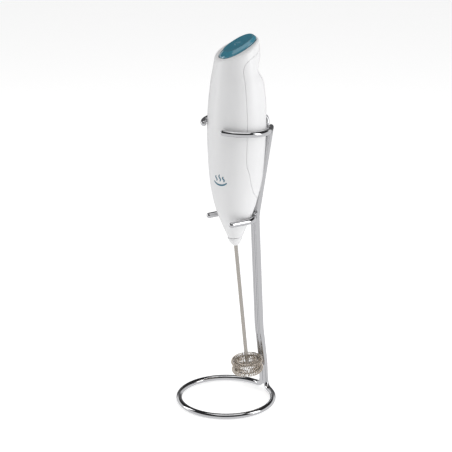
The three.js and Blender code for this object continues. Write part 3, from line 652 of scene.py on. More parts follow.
@dataclass
class HandleForm:
    """The handle's outer surface, its parting line and its slanted rim."""

    drive: DriveLine
    belly_front: float = 16.0 * MM
    belly_back: float = 16.4 * MM
    belly_half: float = 18.05 * MM
    flare_half: float = 11.7 * MM
    head_half: float = 13.0 * MM
    nose_radius: float = 4.3 * MM
    notch_depth: float = 5.4 * MM
    notch_above_cells: float = 10.6 * MM
    top_above_notch: float = 12.2 * MM
    top_slope: float = 25.0
    head_band: float = 5.0 * MM
    cover_edge: float = 4.4 * MM
    cover_tail: float = 13.0 * MM
    button_back: float = 0.9 * MM
    blend_step: float = 0.25 * MM
    blend_width: float = 3.5

    def __post_init__(self) -> None:
        """Work out the heights from the cells' box, and the smoothed outline tables."""
        low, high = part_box("cell_right")
        self.cell_low, self.cell_high = low.z, high.z
        self.middle = (low.y + high.y) / 2
        self.seam_z = float(self.drive.tip[2] + self.drive.nose_length * self.drive.axis[2])
        self.notch_z = self.cell_high + self.notch_above_cells
        self.top_z = self.notch_z + self.top_above_notch
        self.slope = math.tan(math.radians(self.top_slope))
        self.button_y = self.middle + self.button_back
        stations = np.array(self.stations())
        self.heights = np.arange(stations[0, 0], stations[-1, 0], self.blend_step)
        reaches = self.through(stations, self.heights)
        self.front, self.back, self.half = softened(reaches, self.blend_width).T

    def stations(self) -> list[tuple[float, float, float, float]]:
        """Table that the outline is drawn through.

        Returns:
            Rows of height, reach to the front, reach to the back and half width, upwards.
        """
        f, b, h = self.belly_front / MM, self.belly_back / MM, self.belly_half / MM
        flare, head, nose = self.flare_half / MM, self.head_half / MM, self.nose_radius / MM
        seam, low, high = self.seam_z / MM, self.cell_low / MM, self.cell_high / MM
        notch, top, dip = self.notch_z / MM, self.top_z / MM, self.notch_depth / MM
        rows = [
            (seam - 2, 3.6, 3, 3.3),
            (seam, nose + 0.77, nose - 0.77, nose),
            (seam + 8.2, flare - 3.1, flare - 5.3, flare - 3.7),
            (seam + 16.7, flare, flare - 2.1, flare - 0.1),
            (low - 11, f - 2.1, b - 4, h - 3.6),
            (low, f - 0.9, b - 1.7, h - 1.6),
            ((low + high) / 2, f, b, h),
            (high - 9.5, f - 0.9, b + 0.2, h - 0.25),
            (high - 1.5, f - 1.7, b - 0.6, h - 1.1),
            (notch - 6, f - 2.4, b - 1.7, head + 3.2),
            (notch, f - 3.2, b - dip, head + 1.4),
            (notch + 8, f - 4.4, b - 2.8, head),
            (top + 6.5, f - 5.9, b - 3.4, head - 2.4),
            (top + 12, f - 6.9, b - 4.2, head - 4),
        ]
        return [tuple(value * MM for value in row) for row in rows]

    @staticmethod
    def through(stations: Array, heights: Array) -> Array:
        """Cubic curve through the stations.

        Formula: between two stations, the Hermite cubic whose slopes are those from each
        station's lower to its upper neighbour.

        Args:
            stations: rows of height and three reaches.
            heights: where to work out the reaches.

        Returns:
            Array of heights by three reaches.
        """
        z, values = stations[:, 0], stations[:, 1:]
        count = len(z)
        below = np.maximum(np.arange(count) - 1, 0)
        above = np.minimum(np.arange(count) + 1, count - 1)
        slopes = (values[above] - values[below]) / (z[above] - z[below])[:, None]
        i = np.clip(np.searchsorted(z, heights, side="right") - 1, 0, count - 2)
        span = (z[i + 1] - z[i])[:, None]
        t = (heights - z[i])[:, None] / span
        return ((1 + 2 * t) * (1 - t) ** 2 * values[i] + t * (1 - t) ** 2 * span * slopes[i]
                + t * t * (3 - 2 * t) * values[i + 1] + t * t * (t - 1) * span * slopes[i + 1])

    def reach(self, which: str, z: Any) -> Any:
        """Return the front, back or half reach at height z."""
        return np.interp(z, self.heights, getattr(self, which))

    def point(self, turn: Array, z: Array, inset: Any = 0.0) -> Array:
        """Point of the handle's surface.

        Formula: across is (half width - inset) times the sine of turn, and depth is the
        front or back reach, less inset, times its cosine.

        Args:
            turn: radians round from the front towards the right.
            z: height.
            inset: how far under the surface.

        Returns:
            Array of points.
        """
        depth = np.where(np.cos(turn) > 0, self.reach("front", z), self.reach("back", z)) - inset
        across = (self.reach("half", z) - inset) * np.sin(turn)
        return np.stack([across, self.middle - depth * np.cos(turn), z + 0 * across], axis=-1)

    def on_plane(self, turn: Array, base: Array, rise: Array, inset: float) -> Array:
        """Heights where columns of the surface meet the planes z = base + rise * y.

        Formula: the height on the plane is worked out again from the surface's y, sixteen
        times over.

        Args:
            turn: the columns' turns.
            base: each plane's height at y = 0.
            rise: each plane's slope.
            inset: how far under the surface.

        Returns:
            Array of heights.
        """
        z = base + rise * self.middle + 0 * turn
        for _ in range(16):
            z = base + rise * self.point(turn, z, inset)[..., 1]
        return z

    def rim(self, y: Any) -> Any:
        """Return the slanted rim's height at y."""
        return self.top_z + (y - self.button_y) * self.slope

    def spread(self, turn: float, z: float) -> float:
        """Return the length of surface per radian of turn at a place."""
        depth = self.reach("front" if math.cos(turn) > 0 else "back", z)
        return math.hypot(self.reach("half", z) * math.cos(turn), depth * math.sin(turn))

    def parting(self, margin: float, count: int = 120) -> Array:
        """Side view of the rear cover's edge, from its tail up to the head band.

        Formula: two Bezier curves sweep from the tail to the upright edge, and one more
        turns from there into the band that lies under the slanted rim.

        Args:
            margin: how far outside the cover's own edge the line runs.
            count: points on the line.

        Returns:
            Array of (y, z).
        """
        edge = self.middle - self.cover_edge - margin
        low = self.cell_low - self.cover_tail - margin
        tail = np.array([(13, 0), (5, 2), (3.2, 12), (2.2, 17), (0, 21), (0, 27)])
        tail = tail * MM + [edge, low]
        back = edge + np.array([0, 1.2, 5]) * MM
        band = np.stack([back, self.rim(back) - self.head_band + margin], axis=1)
        bend = [band[0] - [0, 6 * MM], band[0] - [0, 2 * MM], band[1], band[2]]
        line = np.concatenate([curve_through(list(tail[:4]), 60), curve_through(list(tail[3:]), 30),
                               curve_through(bend, 60)])
        return respaced(line, np.ptp(line[:, 1]) / count)


@dataclass
class Housing:
    """The handle's front shell and rear cover, and the mark on the front."""

    form: HandleForm
    wall: float = 1.5 * MM
    seam: float = 0.1 * MM
    lip: float = 0.2 * MM
    rim_round: float = 1.7 * MM
    window_half: float = 7.9 * MM
    window_long: float = 11.2 * MM
    columns_each_side: int = 33
    rows_below: int = 30
    rows_above: int = 7
    rim_rows: int = 6
    rim_step: float = 0.02 * MM
    mark_turn: float = 16.5
    mark_drop: float = 1.4 * MM
    ink_depth: tuple[float, float] = (-0.02 * MM, 0.06 * MM)

    def columns(self, margin: float, share: Array, planes: Array) -> Array:
        """Turns of the grid's columns, so that one column on each side lies on the parting line.

        Args:
            margin: how far outside the cover's edge that column runs.
            share: for each row, where it lies between the cover's lower and upper edge.
            planes: for each row, its plane's base and rise.

        Returns:
            Array of rows by columns of turns, all the way round from the front.
        """
        form, line = self.form, self.form.parting(margin)
        y = np.interp(np.clip(share, 0, 1), self.share_of(line, margin), line[:, 0])
        z = planes[:, 0] + planes[:, 1] * y
        z = np.clip(z, form.heights[0], form.heights[-1])
        depth = np.where(y < form.middle, form.reach("front", z), form.reach("back", z))
        edge = np.arccos(np.clip((form.middle - y) / depth, -0.999, 0.999))
        pace = np.hypot(form.reach("half", z) * np.cos(edge), depth * np.sin(edge))
        edge, lips = edge[:, None], self.lips()[1:] / pace[:, None]
        first, last = edge - lips[:, -1:], edge + lips[:, -1:]
        even = np.linspace(0, 1, self.columns_each_side + 1)
        ahead, behind = first * even[:-1], last + (math.pi - last) * even[1:]
        right = np.concatenate([ahead, edge - lips[:, ::-1], edge, edge + lips, behind], axis=1)
        self.edge_column = ahead.shape[1] + lips.shape[1]
        return np.concatenate([right, 2 * math.pi - right[:, -2:0:-1]], axis=1)

    def lips(self) -> Array:
        """Return distances from an edge at which its rounding is worked out."""
        return self.lip * np.array([0, 0.08, 0.22, 0.42, 0.68, 1.0])

    def cover_planes(self, margin: float) -> tuple[tuple[float, float], tuple[float, float]]:
        """Planes that bound the rear cover, each as its height at y = 0 and its slope.

        Args:
            margin: how far outside the cover's own edge they lie.

        Returns:
            The level plane under the cover and the slanted one above it.
        """
        form = self.form
        top = form.rim(0.0) - form.head_band + margin
        return (form.cell_low - form.cover_tail - margin, 0.0), (top, form.slope)

    def share_of(self, line: Array, margin: float) -> Array:
        """Where points lie between the cover's two end planes.

        Args:
            line: rows of (y, z), upwards.
            margin: how far outside the cover's edge the planes lie.

        Returns:
            Array of shares from 0 to 1, never falling.
        """
        (low, low_rise), (high, high_rise) = self.cover_planes(margin)
        y, z = line.T
        share = (z - low - low_rise * y) / (high - low + (high_rise - low_rise) * y)
        return np.clip(np.maximum.accumulate(share), 0, 1)

    def planes(self, margin: float) -> tuple[Array, Array]:
        """Rows of the grid as planes z = base + rise * y, from the nose seam to the rim.

        Args:
            margin: how far outside the cover's edge the two cover rows run.

        Returns:
            Array of (base, rise), and each row's share between the cover's end planes.
        """
        form, drive = self.form, self.form.drive
        nose_rise = -float(drive.axis[1] / drive.axis[2])
        nose_y = float(drive.tip[1] + drive.nose_length * drive.axis[1])
        start = np.array([form.seam_z + self.seam - nose_rise * nose_y, nose_rise])
        low, high = (np.array(plane) for plane in self.cover_planes(margin))
        stop = np.array([form.rim(0.0) - self.rim_round, form.slope])
        lips = self.lips()[:, None] * [1.0, 0.0]
        below = np.linspace(start + lips[-1], low - lips[-1], self.rows_below)[1:]
        above = np.linspace(high + lips[-1], stop, self.rows_above)[1:]
        pitch = self.lips() / (high[0] - low[0])
        line = self.share_of(form.parting(margin), margin)
        share = np.unique(np.concatenate([line, pitch, 1 - pitch]))
        share = share[np.concatenate([[True], np.diff(share) > 2e-5])]
        share[-1] = 1.0
        cover = low + (high - low) * share[:, None]
        under = np.concatenate([start + lips, below, low - lips[-2:0:-1]])
        over = np.concatenate([high + lips[1:], above])
        self.low_row, self.high_row = len(under), len(under) + len(cover) - 1
        shares = np.concatenate([np.zeros(len(under)), share, np.ones(len(over))])
        return np.concatenate([under, cover, over]), shares

    def on_top(self, plan: Array, drop: float) -> Array:
        """Return points (x, y) lifted onto the slanted plane that lies drop under the rim."""
        return np.concatenate([plan, self.form.rim(plan[:, 1:]) - drop], axis=1)

    def top_rows(self, side: Array, corner: Array, turn: Array, drop: float, rounding: float) -> Array:
        """Rows that turn from the side over the rim and run in to the button's window.

        Formula: a three-point Bezier curve from the side through the corner into the slanted
        plane, then straight lines in plan to the oval window.

        Args:
            side: the last row on the side.
            corner: where the side would meet the slanted plane.
            turn: the columns' turns.
            drop: how far the plane lies under the rim.
            rounding: length of the rounding.

        Returns:
            Array of rows by columns by 3.
        """
        form = self.form
        window = np.stack([self.window_half * fuller(np.sin(turn)),
                           form.button_y - self.window_long * fuller(np.cos(turn))], axis=-1)
        inward = window - corner[:, :2]
        length = np.linalg.norm(inward, axis=-1, keepdims=True)
        start = self.on_top(corner[:, :2] + inward * rounding / length, drop)
        bend = [(1 - t) ** 2 * side + 2 * t * (1 - t) * corner + t * t * start
                for t in np.linspace(0, 1, 8)[1:-1]]
        plans = [start[:, :2] + (window - start[:, :2]) * t for t in (0, 0.25, 0.5, 0.75)]
        plans += [window - inward / length * s for s in self.lips()[::-1]]
        return np.stack(bend + [self.on_top(plan, drop) for plan in plans])

    def grid(self, margin: float, inset: float, drop: float,
             rounding: float) -> tuple[Array, Array, int]:
        """The whole handle as one grid of points before its edges are rounded.

        Args:
            margin: how far outside the cover's edge the parting column runs.
            inset: how far under the outer surface.
            drop: how far the top plane lies under the rim.
            rounding: rounding between side and top.

        Returns:
            The points, the columns' turns on the side rows, and the number of side rows.
        """
        form = self.form
        planes, share = self.planes(margin)
        turn = self.columns(margin, share, planes)
        base, rise = planes[:, :1].copy(), planes[:, 1:]
        under_rim = self.rim_step * np.arange(self.rim_rows - 1, -1, -1)[:, None]
        limit = form.rim(0.0) - drop - rounding - under_rim
        base[-self.rim_rows:] = np.minimum(base[-self.rim_rows:], limit)
        z = form.on_plane(turn, base, rise, inset)
        side = form.point(turn, z, inset)
        top_z = form.on_plane(turn[-1], form.rim(0.0) - drop, form.slope, inset)
        corner = form.point(turn[-1], top_z, inset)
        top = self.top_rows(side[-1], corner, turn[-1], drop, rounding)
        return np.concatenate([side, top]), turn, len(side)

    def outer(self, margin: float) -> Array:
        """Outer skin with every edge rounded by its distance to the nearest cut.

        Formula: a point nearer to a cut than the lip radius r sinks by r less the root of
        r squared less the square of (r less its distance).

        Args:
            margin: how far outside the cover's edge the parting column runs.

        Returns:
            Array of rows by columns by 3.
        """
        points, turn, sides = self.grid(margin, 0.0, 0.0, self.rim_round)
        right, left = self.edge_column, turn.shape[1] - self.edge_column
        low, high = self.low_row, self.high_row
        cuts = np.concatenate([
            points[low:high + 1, right], points[low:high + 1, left], points[low, right:left + 1],
            points[high, right:left + 1], points[0], points[-1]]).astype(np.float32)
        rows = points.astype(np.float32)[:, :, None]
        near = np.stack([np.linalg.norm(row - cuts, axis=-1).min(1) for row in rows])
        away = np.clip(self.lip - near, 0, self.lip)
        sink = self.lip - np.sqrt(self.lip**2 - away**2)
        points[:sides] = self.form.point(turn, points[:sides, :, 2], sink[:sides])
        points[sides:, :, 2] -= sink[sides:]
        return points

    def shell(self, name: str, margin: float, cover: bool) -> bpy.types.Object:
        """One housing piece: outer skin, inner skin and the walls that join them.

        Args:
            name: the piece's name.
            margin: how far outside the cover's own edge this piece ends.
            cover: True for the rear cover, False for everything round it.

        Returns:
            The new object.
        """
        outer = self.outer(margin)
        inner = self.grid(margin, self.wall, 1.2 * self.wall, 0.2 * MM)[0]
        rows, columns = outer.shape[:2]
        skin = Skin()
        row, column = np.meshgrid(np.arange(rows), np.arange(columns), indexing="ij")
        uv = np.stack([row / rows, column / columns], axis=-1)
        skin.add_points(outer, uv)
        skin.add_points(inner, uv)
        ids = np.arange(rows * columns).reshape(rows, columns)
        near, far = ids[:-1], ids[1:]
        cells = np.stack([near, np.roll(near, -1, 1), np.roll(far, -1, 1), far], axis=-1)
        inside = np.zeros(cells.shape[:2], bool)
        inside[self.low_row:self.high_row, self.edge_column:columns - self.edge_column] = True
        faces = cells[inside if cover else ~inside]
        edges = np.concatenate([faces[:, [k, (k + 1) % 4]] for k in range(4)])
        total = rows * columns
        key, mirrored = edges[:, 0] * total + edges[:, 1], edges[:, 1] * total + edges[:, 0]
        rim = edges[~np.isin(key, mirrored)]
        walls = np.stack([rim[:, 1], rim[:, 0], rim[:, 0] + total, rim[:, 1] + total], axis=1)
        skin.quads += [faces, faces[:, ::-1] + total, walls]
        return skin.to_object(name)

    def mark(self) -> bpy.types.Object:
        """Three rising wisps over a shallow bowl, printed on the front.

        Formula: each stroke is a line in the surface, a few hundredths of a millimetre
        proud, with a flat section carried along it.

        Returns:
            The new object.
        """
        form = self.form
        turn, z = math.radians(self.mark_turn), form.cell_low - self.mark_drop
        pace = form.spread(turn, z)
        skin = Skin()
        t = np.linspace(0, 1, 28)
        wisps = [np.stack([(x + 0.55 * np.sin(2 * math.pi * t)) * MM, (0.3 + h * t) * MM], axis=1)
                 for x, h in ((-2.6, 2.9), (0, 3.9), (2.6, 2.9))]
        arc = math.pi * (1.12 + 0.76 * t)
        bowl = np.stack([5.0 * np.cos(arc) * MM, (1.0 + 3.0 * np.sin(arc)) * MM], axis=1)
        sunk, proud = self.ink_depth
        for stroke, width in [(wisp, 0.42 * MM) for wisp in wisps] + [(bowl, 0.5 * MM)]:
            along = unit(np.gradient(stroke, axis=0))
            across = np.stack([along[:, 1], -along[:, 0]], axis=1)
            taper = (0.45 + 0.55 * np.sin(math.pi * t) ** 0.5)[:, None] * width
            left, right = stroke - across * taper, stroke + across * taper
            corners = ((left, sunk), (right, sunk), (right, proud), (left, proud))
            loops = [form.point(turn + c[:, 0] / pace, z + c[:, 1], -up) for c, up in corners]
            skin.add_grid(np.stack(loops, axis=1)[:, ::-1])
        return skin.to_object("front_mark")

    def build(self, shop: Paintshop) -> None:
        """Make the two housing pieces and the mark.

        Args:
            shop: where the pieces are dressed.
        """
        shells = ((self.shell("front_shell_skin", self.seam, False), "front_shell"),
                  (self.shell("rear_cover_skin", 0.0, True), "rear_cover"))
        for piece, node in shells:
            shop.dress(piece, WHITE, "white_plastic", "frother", node)
        shop.dress(self.mark(), INK, "teal_plastic", "frother")


@dataclass
class PushButton:
    """The slanted oval button with its flange, stem and spring post."""

    form: HandleForm
    half: float = 7.6 * MM
    length: float = 10.9 * MM
    rise: float = 2.4 * MM
    bevel: float = 1.5 * MM
    front_bevel: float = 1.1 * MM
    side_share: float = 0.3
    dish: float = 0.22 * MM
    stem_radius: float = 1.8 * MM
    stem_back: float = 4.0 * MM
    stem_room: float = 1.6 * MM
    post_radius: float = 1.2 * MM
    post_back: float = -4.0 * MM
    badge_radius: float = 1.7 * MM
    badge_width: float = 0.32 * MM
    badge_height: float = 0.22 * MM
    badge_gap: float = 0.9 * MM
    flange_low: float = -3.5 * MM
    flange_high: float = -2.3 * MM
    flange_width: float = 1.0 * MM
    flange_edge: float = 0.1 * MM
    spring_wire: float = 0.34 * MM
    spring_turns: int = 6
    travel: float = 1.5 * MM

    def loops(self, rows: Array, columns: int = 120) -> Array:
        """Grid of ovals that follow the slanted rim.

        Formula: each row is an oval of the button's half width and half length, both
        changed by the row's spread, lifted off the slanted plane by the row's rise.

        Args:
            rows: rise, spread across and spread lengthwise of each row.
            columns: points round an oval.

        Returns:
            Array of rows by columns by 3.
        """
        turn = full_turn(columns)
        rise, across, lengthwise = (rows[:, k:k + 1] for k in range(3))
        x = (self.half + across) * fuller(np.sin(turn))
        y = self.form.button_y - (self.length + lengthwise) * fuller(np.cos(turn))
        climb = np.clip((rise / self.rise - self.side_share) / (1 - self.side_share), 0, 1)
        forward = np.clip((self.form.button_y - y) / self.length, 0, 1)
        y = y + self.front_bevel * climb * forward
        return np.stack([x, y, self.form.rim(y) + rise], axis=-1)

    def face(self) -> Array:
        """Rows of the top face from its shoulder to its middle, with the raised badge.

        Formula: the face sinks by dish times 1 - share squared; the badge is an open ring
        and an upright bar, raised where the distance to their middle line is under half
        their width.

        Returns:
            Array of rows by columns by 3.
        """
        share = np.concatenate([np.linspace(0.965, 0.26, 16), np.linspace(0.25, 0.004, 40)])
        rows = np.stack([np.full_like(share, self.rise), (self.half - self.bevel) * share - self.half,
                         (self.length - self.bevel) * share - self.length], axis=1)
        grid = self.loops(rows)
        x, y = grid[..., 0], (grid[..., 1] - self.form.button_y) * math.hypot(1, self.form.slope)
        opening = (np.abs(x) < self.badge_gap) & (y > 0)
        ring = np.where(opening, self.length, np.abs(np.hypot(x, y) - self.badge_radius))
        bar = np.hypot(x, np.clip(np.abs(y - self.badge_gap) - self.badge_gap, 0, None))
        near = np.minimum(ring, bar) / (0.5 * self.badge_width)
        grid[..., 2] += self.badge_height * np.clip(1.6 - near, 0, 1)
        grid[..., 2] -= self.dish * (1 - share[:, None] ** 2)
        return grid

    def build(self, shop: Paintshop) -> None:
        """Make the button and its return spring."""
        self.cap(shop)
        self.spring(shop)

    def cap(self, shop: Paintshop) -> None:
        """Make the button.

        Formula: rows of ovals climb from the flange's underside over its edge, up the side,
        round the shoulder on two Bezier curves and in over the face; two rods hang below.

        Args:
            shop: where the piece is dressed.
        """
        low, high, wide, edge = self.flange_low, self.flange_high, self.flange_width, self.flange_edge
        flange = [
            (low, -0.9 * self.half, -0.9 * self.length), (low, wide - edge, -0.4 * MM),
            (low + edge, wide, -GAP), (high - edge, wide, -GAP),
            (high, wide - edge, -0.4 * MM), (high, 0, 0), (high + 0.3 * MM, 0, 0),
        ]
        side = [(share * self.side_share * self.rise, 0, 0) for share in (0, 0.5, 1)]
        start, corner = np.array([self.side_share * self.rise, 0]), np.array([self.rise, -self.bevel])
        slope = curve_through([start, corner], 7)[1:-1, [0, 1, 1]]
        corner, inner = corner[[0, 1, 1]], corner[[0, 1, 1]] - [0, 0.3 * MM, 0.3 * MM]
        shoulder = curve_through([slope[-1], corner, inner], 7)[1:]
        body = self.loops(np.concatenate([flange, side, slope, shoulder]))
        skin = Skin()
        skin.add_grid(np.concatenate([body, self.face()]))
        post_low, leaf_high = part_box("push_button")[0].z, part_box("switch_leaf_upper")[1].z
        ends = ((self.stem_back, self.stem_radius, leaf_high + self.stem_room + self.stem_radius),
                (self.post_back, self.post_radius, post_low + self.post_radius))
        for back, radius, bottom in ends:
            y = self.form.middle + back
            top = np.array([0, y, self.form.rim(y) + low - 0.4 * MM])
            skin.add_rod(np.array([0, y, bottom]), top, radius)
        shop.dress(skin.to_object("button_cap"), TEAL, "teal_plastic", "button", "push_button")

    def spring(self, shop: Paintshop) -> None:
        """Wind the return spring round its post.

        Formula: a helix of even pitch that fills the spring's box.

        Args:
            shop: where the piece is dressed.
        """
        low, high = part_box("button_spring")
        reach, middle = high.x - self.spring_wire, (low.y + high.y) / 2
        share = np.linspace(0, 1, 24 * self.spring_turns + 1)
        turn = 2 * math.pi * self.spring_turns * share
        climb = low.z + self.spring_wire + (high.z - low.z - 2 * self.spring_wire) * share
        path = np.stack([reach * np.cos(turn), middle + reach * np.sin(turn), climb], axis=1)
        outward = np.stack([np.cos(turn), np.sin(turn), 0 * turn], axis=1)
        skin = Skin()
        skin.add_tube(path, outward, self.spring_wire, 10)
        piece = skin.to_object("return_spring")
        shop.dress(piece, SPRING, "spring_steel", "frother", "button_spring")
        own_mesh(piece)


@dataclass
class Stand:
    """The bent wire stand: ring, uprights and upper prongs in one wire, and the lower fork."""

    form: HandleForm
    gap: float = GAP
    foot_angle: float = 14.0
    bends: tuple[float, ...] = (4.9 * MM, 45 * MM, 45 * MM, 26 * MM, 4 * MM)
    shin_height: float = 42 * MM
    shin_setback: float = 3.1 * MM
    prong_standoff: float = 5.2 * MM
    prong_rise: tuple[float, float] = (3.5, -2.0)
    prong_step: float = 3.3 * MM
    prong_tip: float = 25.0
    prong_grip: float = 0.4 * MM
    prong_lead: float = 0.06
    whisk_radius: float = 9.6 * MM
    whisk_clearance: float = 0.5 * MM
    sides: int = 28
    wire_step: float = 0.5 * MM
    wire_softness: float = 2.4
    fork_step: float = 0.4 * MM
    fork_softness: float = 2.0
    bead_size: tuple[float, float, float] = (1.15 * MM, 1.0 * MM, 1.5 * MM)

    def __post_init__(self) -> None:
        """Read the wire's size and the main places from the CAD boxes."""
        low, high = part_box("base_ring")
        self.radius = high.z / 2
        self.ring_radius = high.x - self.radius
        self.ring_y = low.y + high.x
        fork_low, fork_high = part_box("lower_fork")
        self.fork_z = (fork_low.z + fork_high.z) / 2
        self.fork_back = fork_high.y - self.radius
        self.fork_front = fork_low.y + self.radius
        self.prong_z = (self.form.cell_low + self.form.cell_high) / 2 + 2 * MM
        self.upright_x = self.radius + self.gap / 2

    def standoff(self, z: float, clearance: float) -> float:
        """Return the level distance that keeps the wire clear of the tapering handle."""
        taper = (self.form.reach("half", z + MM) - self.form.reach("half", z - MM)) / (2 * MM)
        return (self.radius + clearance) * math.hypot(1, taper)

    def ring_points(self, turns: Array) -> Array:
        """Return points of the ring's middle line at turns from the back."""
        across, back = self.ring_radius * np.sin(turns), self.ring_radius * np.cos(turns)
        return np.stack([across, self.ring_y + back, self.radius + 0 * turns], axis=-1)

    def upright(self, side: float, lift: float) -> Array:
        """Middle line of one upright from the ring to its prong's tip.

        Formula: straight runs with jig bends up to the top, then the handle's section moved
        out by the standoff, climbing evenly towards the front.

        Args:
            side: 1 for the right one, -1 for the left one.
            lift: how much higher its prong sits.

        Returns:
            Array of points.
        """
        form, drive = self.form, self.form.drive
        centre = drive.tip - drive.shaft_length * drive.axis
        upright_back = centre[1] + self.whisk_radius + self.whisk_clearance + self.radius
        knee_back = self.fork_back + 2 * self.radius + self.gap
        prong_back = form.middle + form.reach("back", self.prong_z) + self.prong_standoff + self.radius
        rise = math.tan(math.radians(self.prong_rise[0 if side > 0 else 1]))
        offset = self.standoff(self.prong_z, self.prong_grip)
        middle = (form.reach("half", self.prong_z) + form.reach("back", self.prong_z)) / 2 + offset
        leave = math.pi - math.acos(middle / (prong_back - form.middle)) - self.prong_lead
        turns = np.linspace(leave, math.radians(self.prong_tip), 40)
        prong = form.point(turns, self.prong_z + 0 * turns, -offset) * [side, 1, 1]
        prong[:, 2] += lift + (form.middle - prong[:, 1]) * rise
        top = self.prong_z + lift + (form.middle - prong_back) * rise
        run = np.array([
            (self.ring_y + self.ring_radius, self.radius), (upright_back, centre[2]),
            (upright_back - self.shin_setback, self.shin_height), (knee_back, self.fork_z - MM),
            (prong_back, top)])
        run = np.column_stack([np.full(len(run), side * self.upright_x), run])
        foot = self.ring_points(np.array([side * math.radians(self.foot_angle)]))
        corners = np.concatenate([foot, run, prong[:1]])
        return np.concatenate([bent(list(corners), list(self.bends)), prong[1:]])

    def evened(self, path: Array, step: float, width: float) -> Array:
        """Space a wire's path evenly, smooth it and make room for the domed ends.

        Formula: points a step apart, a bell-shaped running mean, then one wire radius taken
        off each end.

        Args:
            path: points along the wire's middle.
            step: distance between points.
            width: the bell's standard deviation, in steps.

        Returns:
            Array of points.
        """
        path = softened(respaced(path, step), width)
        spare = int(round(self.radius / step))
        return path[spare:-spare]

    def wire(self) -> bpy.types.Object:
        """Make the one long wire: left prong and upright, ring, right upright and prong.

        Returns:
            The new object.
        """
        start = math.radians(self.foot_angle)
        turns = np.linspace(-start, start - 2 * math.pi, 200)
        left, right = self.upright(-1, self.prong_step), self.upright(1, 0.0)
        path = np.concatenate([left[::-1], self.ring_points(turns)[1:-1], right])
        path = self.evened(path, self.wire_step, self.wire_softness)
        skin = Skin()
        skin.add_tube(path, path * [1, 1, 0] - [0, self.form.middle, 0], self.radius, self.sides)
        return skin.to_object("stand_wire")

    def fork(self) -> bpy.types.Object:
        """Make the lower fork with the two weld beads that hold it.

        Formula: the back half of the handle's section moved out by the standoff, with a
        straight run forward at each side.

        Returns:
            The new object.
        """
        offset = self.standoff(self.fork_z, self.gap)
        turns = np.linspace(math.pi / 2, 3 * math.pi / 2, 60)
        back = self.form.point(turns, self.fork_z + 0 * turns, -offset)
        tip = np.array([[abs(back[0, 0]), self.fork_front, self.fork_z]])
        path = np.concatenate([tip, back, tip * [-1, 1, 1]])
        path = self.evened(path, self.fork_step, self.fork_softness)
        skin = Skin()
        skin.add_tube(path, np.repeat([[0.0, 0.0, 1.0]], len(path), 0), self.radius, self.sides)
        weld = self.fork_back + self.radius + self.gap / 2
        for side in (1, -1):
            middle = np.array([side * self.upright_x, weld, self.fork_z])
            skin.add_grid(middle + self.bead(*self.bead_size))
        return skin.to_object("fork_wire")

    @staticmethod
    def bead(across: float, deep: float, tall: float) -> Array:
        """Small egg-shaped bead about the origin.

        Formula: an ellipsoid on rows of latitude and columns of turn.

        Args:
            across: its reach along x.
            deep: its reach along y.
            tall: its reach along z.

        Returns:
            Array of rows by columns by 3.
        """
        rise = np.linspace(-math.pi / 2, math.pi / 2, 14)[1:-1, None]
        turn = full_turn(20)
        return np.stack([across * np.cos(rise) * np.cos(turn), deep * np.cos(rise) * np.sin(turn),
                         tall * np.sin(rise) + 0 * turn], axis=-1)

    def build(self, shop: Paintshop) -> None:
        """Make the stand's two wires."""
        shop.dress(self.wire(), CHROME, "chrome_wire", "stand",
                   "base_ring", "upright_right", "upright_left")
        shop.dress(self.fork(), CHROME, "chrome_wire", "stand", "lower_fork")


@dataclass
class Nose:
    """The small cone that closes the handle round the shaft."""

    drive: DriveLine
    radius: float = 4.3 * MM
    tip_radius: float = 1.9 * MM
    spigot: float = 2.5 * MM
    spigot_length: float = 3.2 * MM
    bore: float = 1.4 * MM
    mouth: float = 0.15 * MM
    lip: float = 0.25 * MM

    def build(self, shop: Paintshop) -> None:
        """Make the cone.

        Formula: its outline turned about the drive axis; the flank's radius grows from the
        tip's with a power of the sine of the height.

        Args:
            shop: where the piece is dressed.
        """
        length, lip, chamfer = self.drive.nose_length, self.lip, 0.1 * MM
        t = np.linspace(0.12, 1, 18)
        swell = np.sin(t * math.pi / 2) ** 1.1
        flank = [self.tip_radius + (self.radius - self.tip_radius) * swell, length * t]
        flank = np.stack(flank, axis=1)[:-1]
        turn = np.linspace(0, math.pi / 2, 6)
        edge = [self.radius - lip * (1 - np.cos(turn)), length - lip * (1 - np.sin(turn))]
        edge = np.stack(edge, axis=1)
        mouth = [np.array([self.bore + self.mouth, 0.0]), np.array([self.tip_radius, 0.0]), flank[0]]
        fillet = curve_through(mouth, 8)[:-1]
        top = length + self.spigot_length
        inner = [(self.spigot, length), (self.spigot, top - chamfer), (self.spigot - chamfer, top),
                 (self.bore, top), (self.bore, self.mouth)]
        skin = Skin()
        skin.add_grid(self.drive.turned(np.concatenate([fillet, flank, edge, inner]), 72), ring=True)
        shop.dress(skin.to_object("nose_skin"), WHITE, "white_plastic", "frother", "nose_cone")


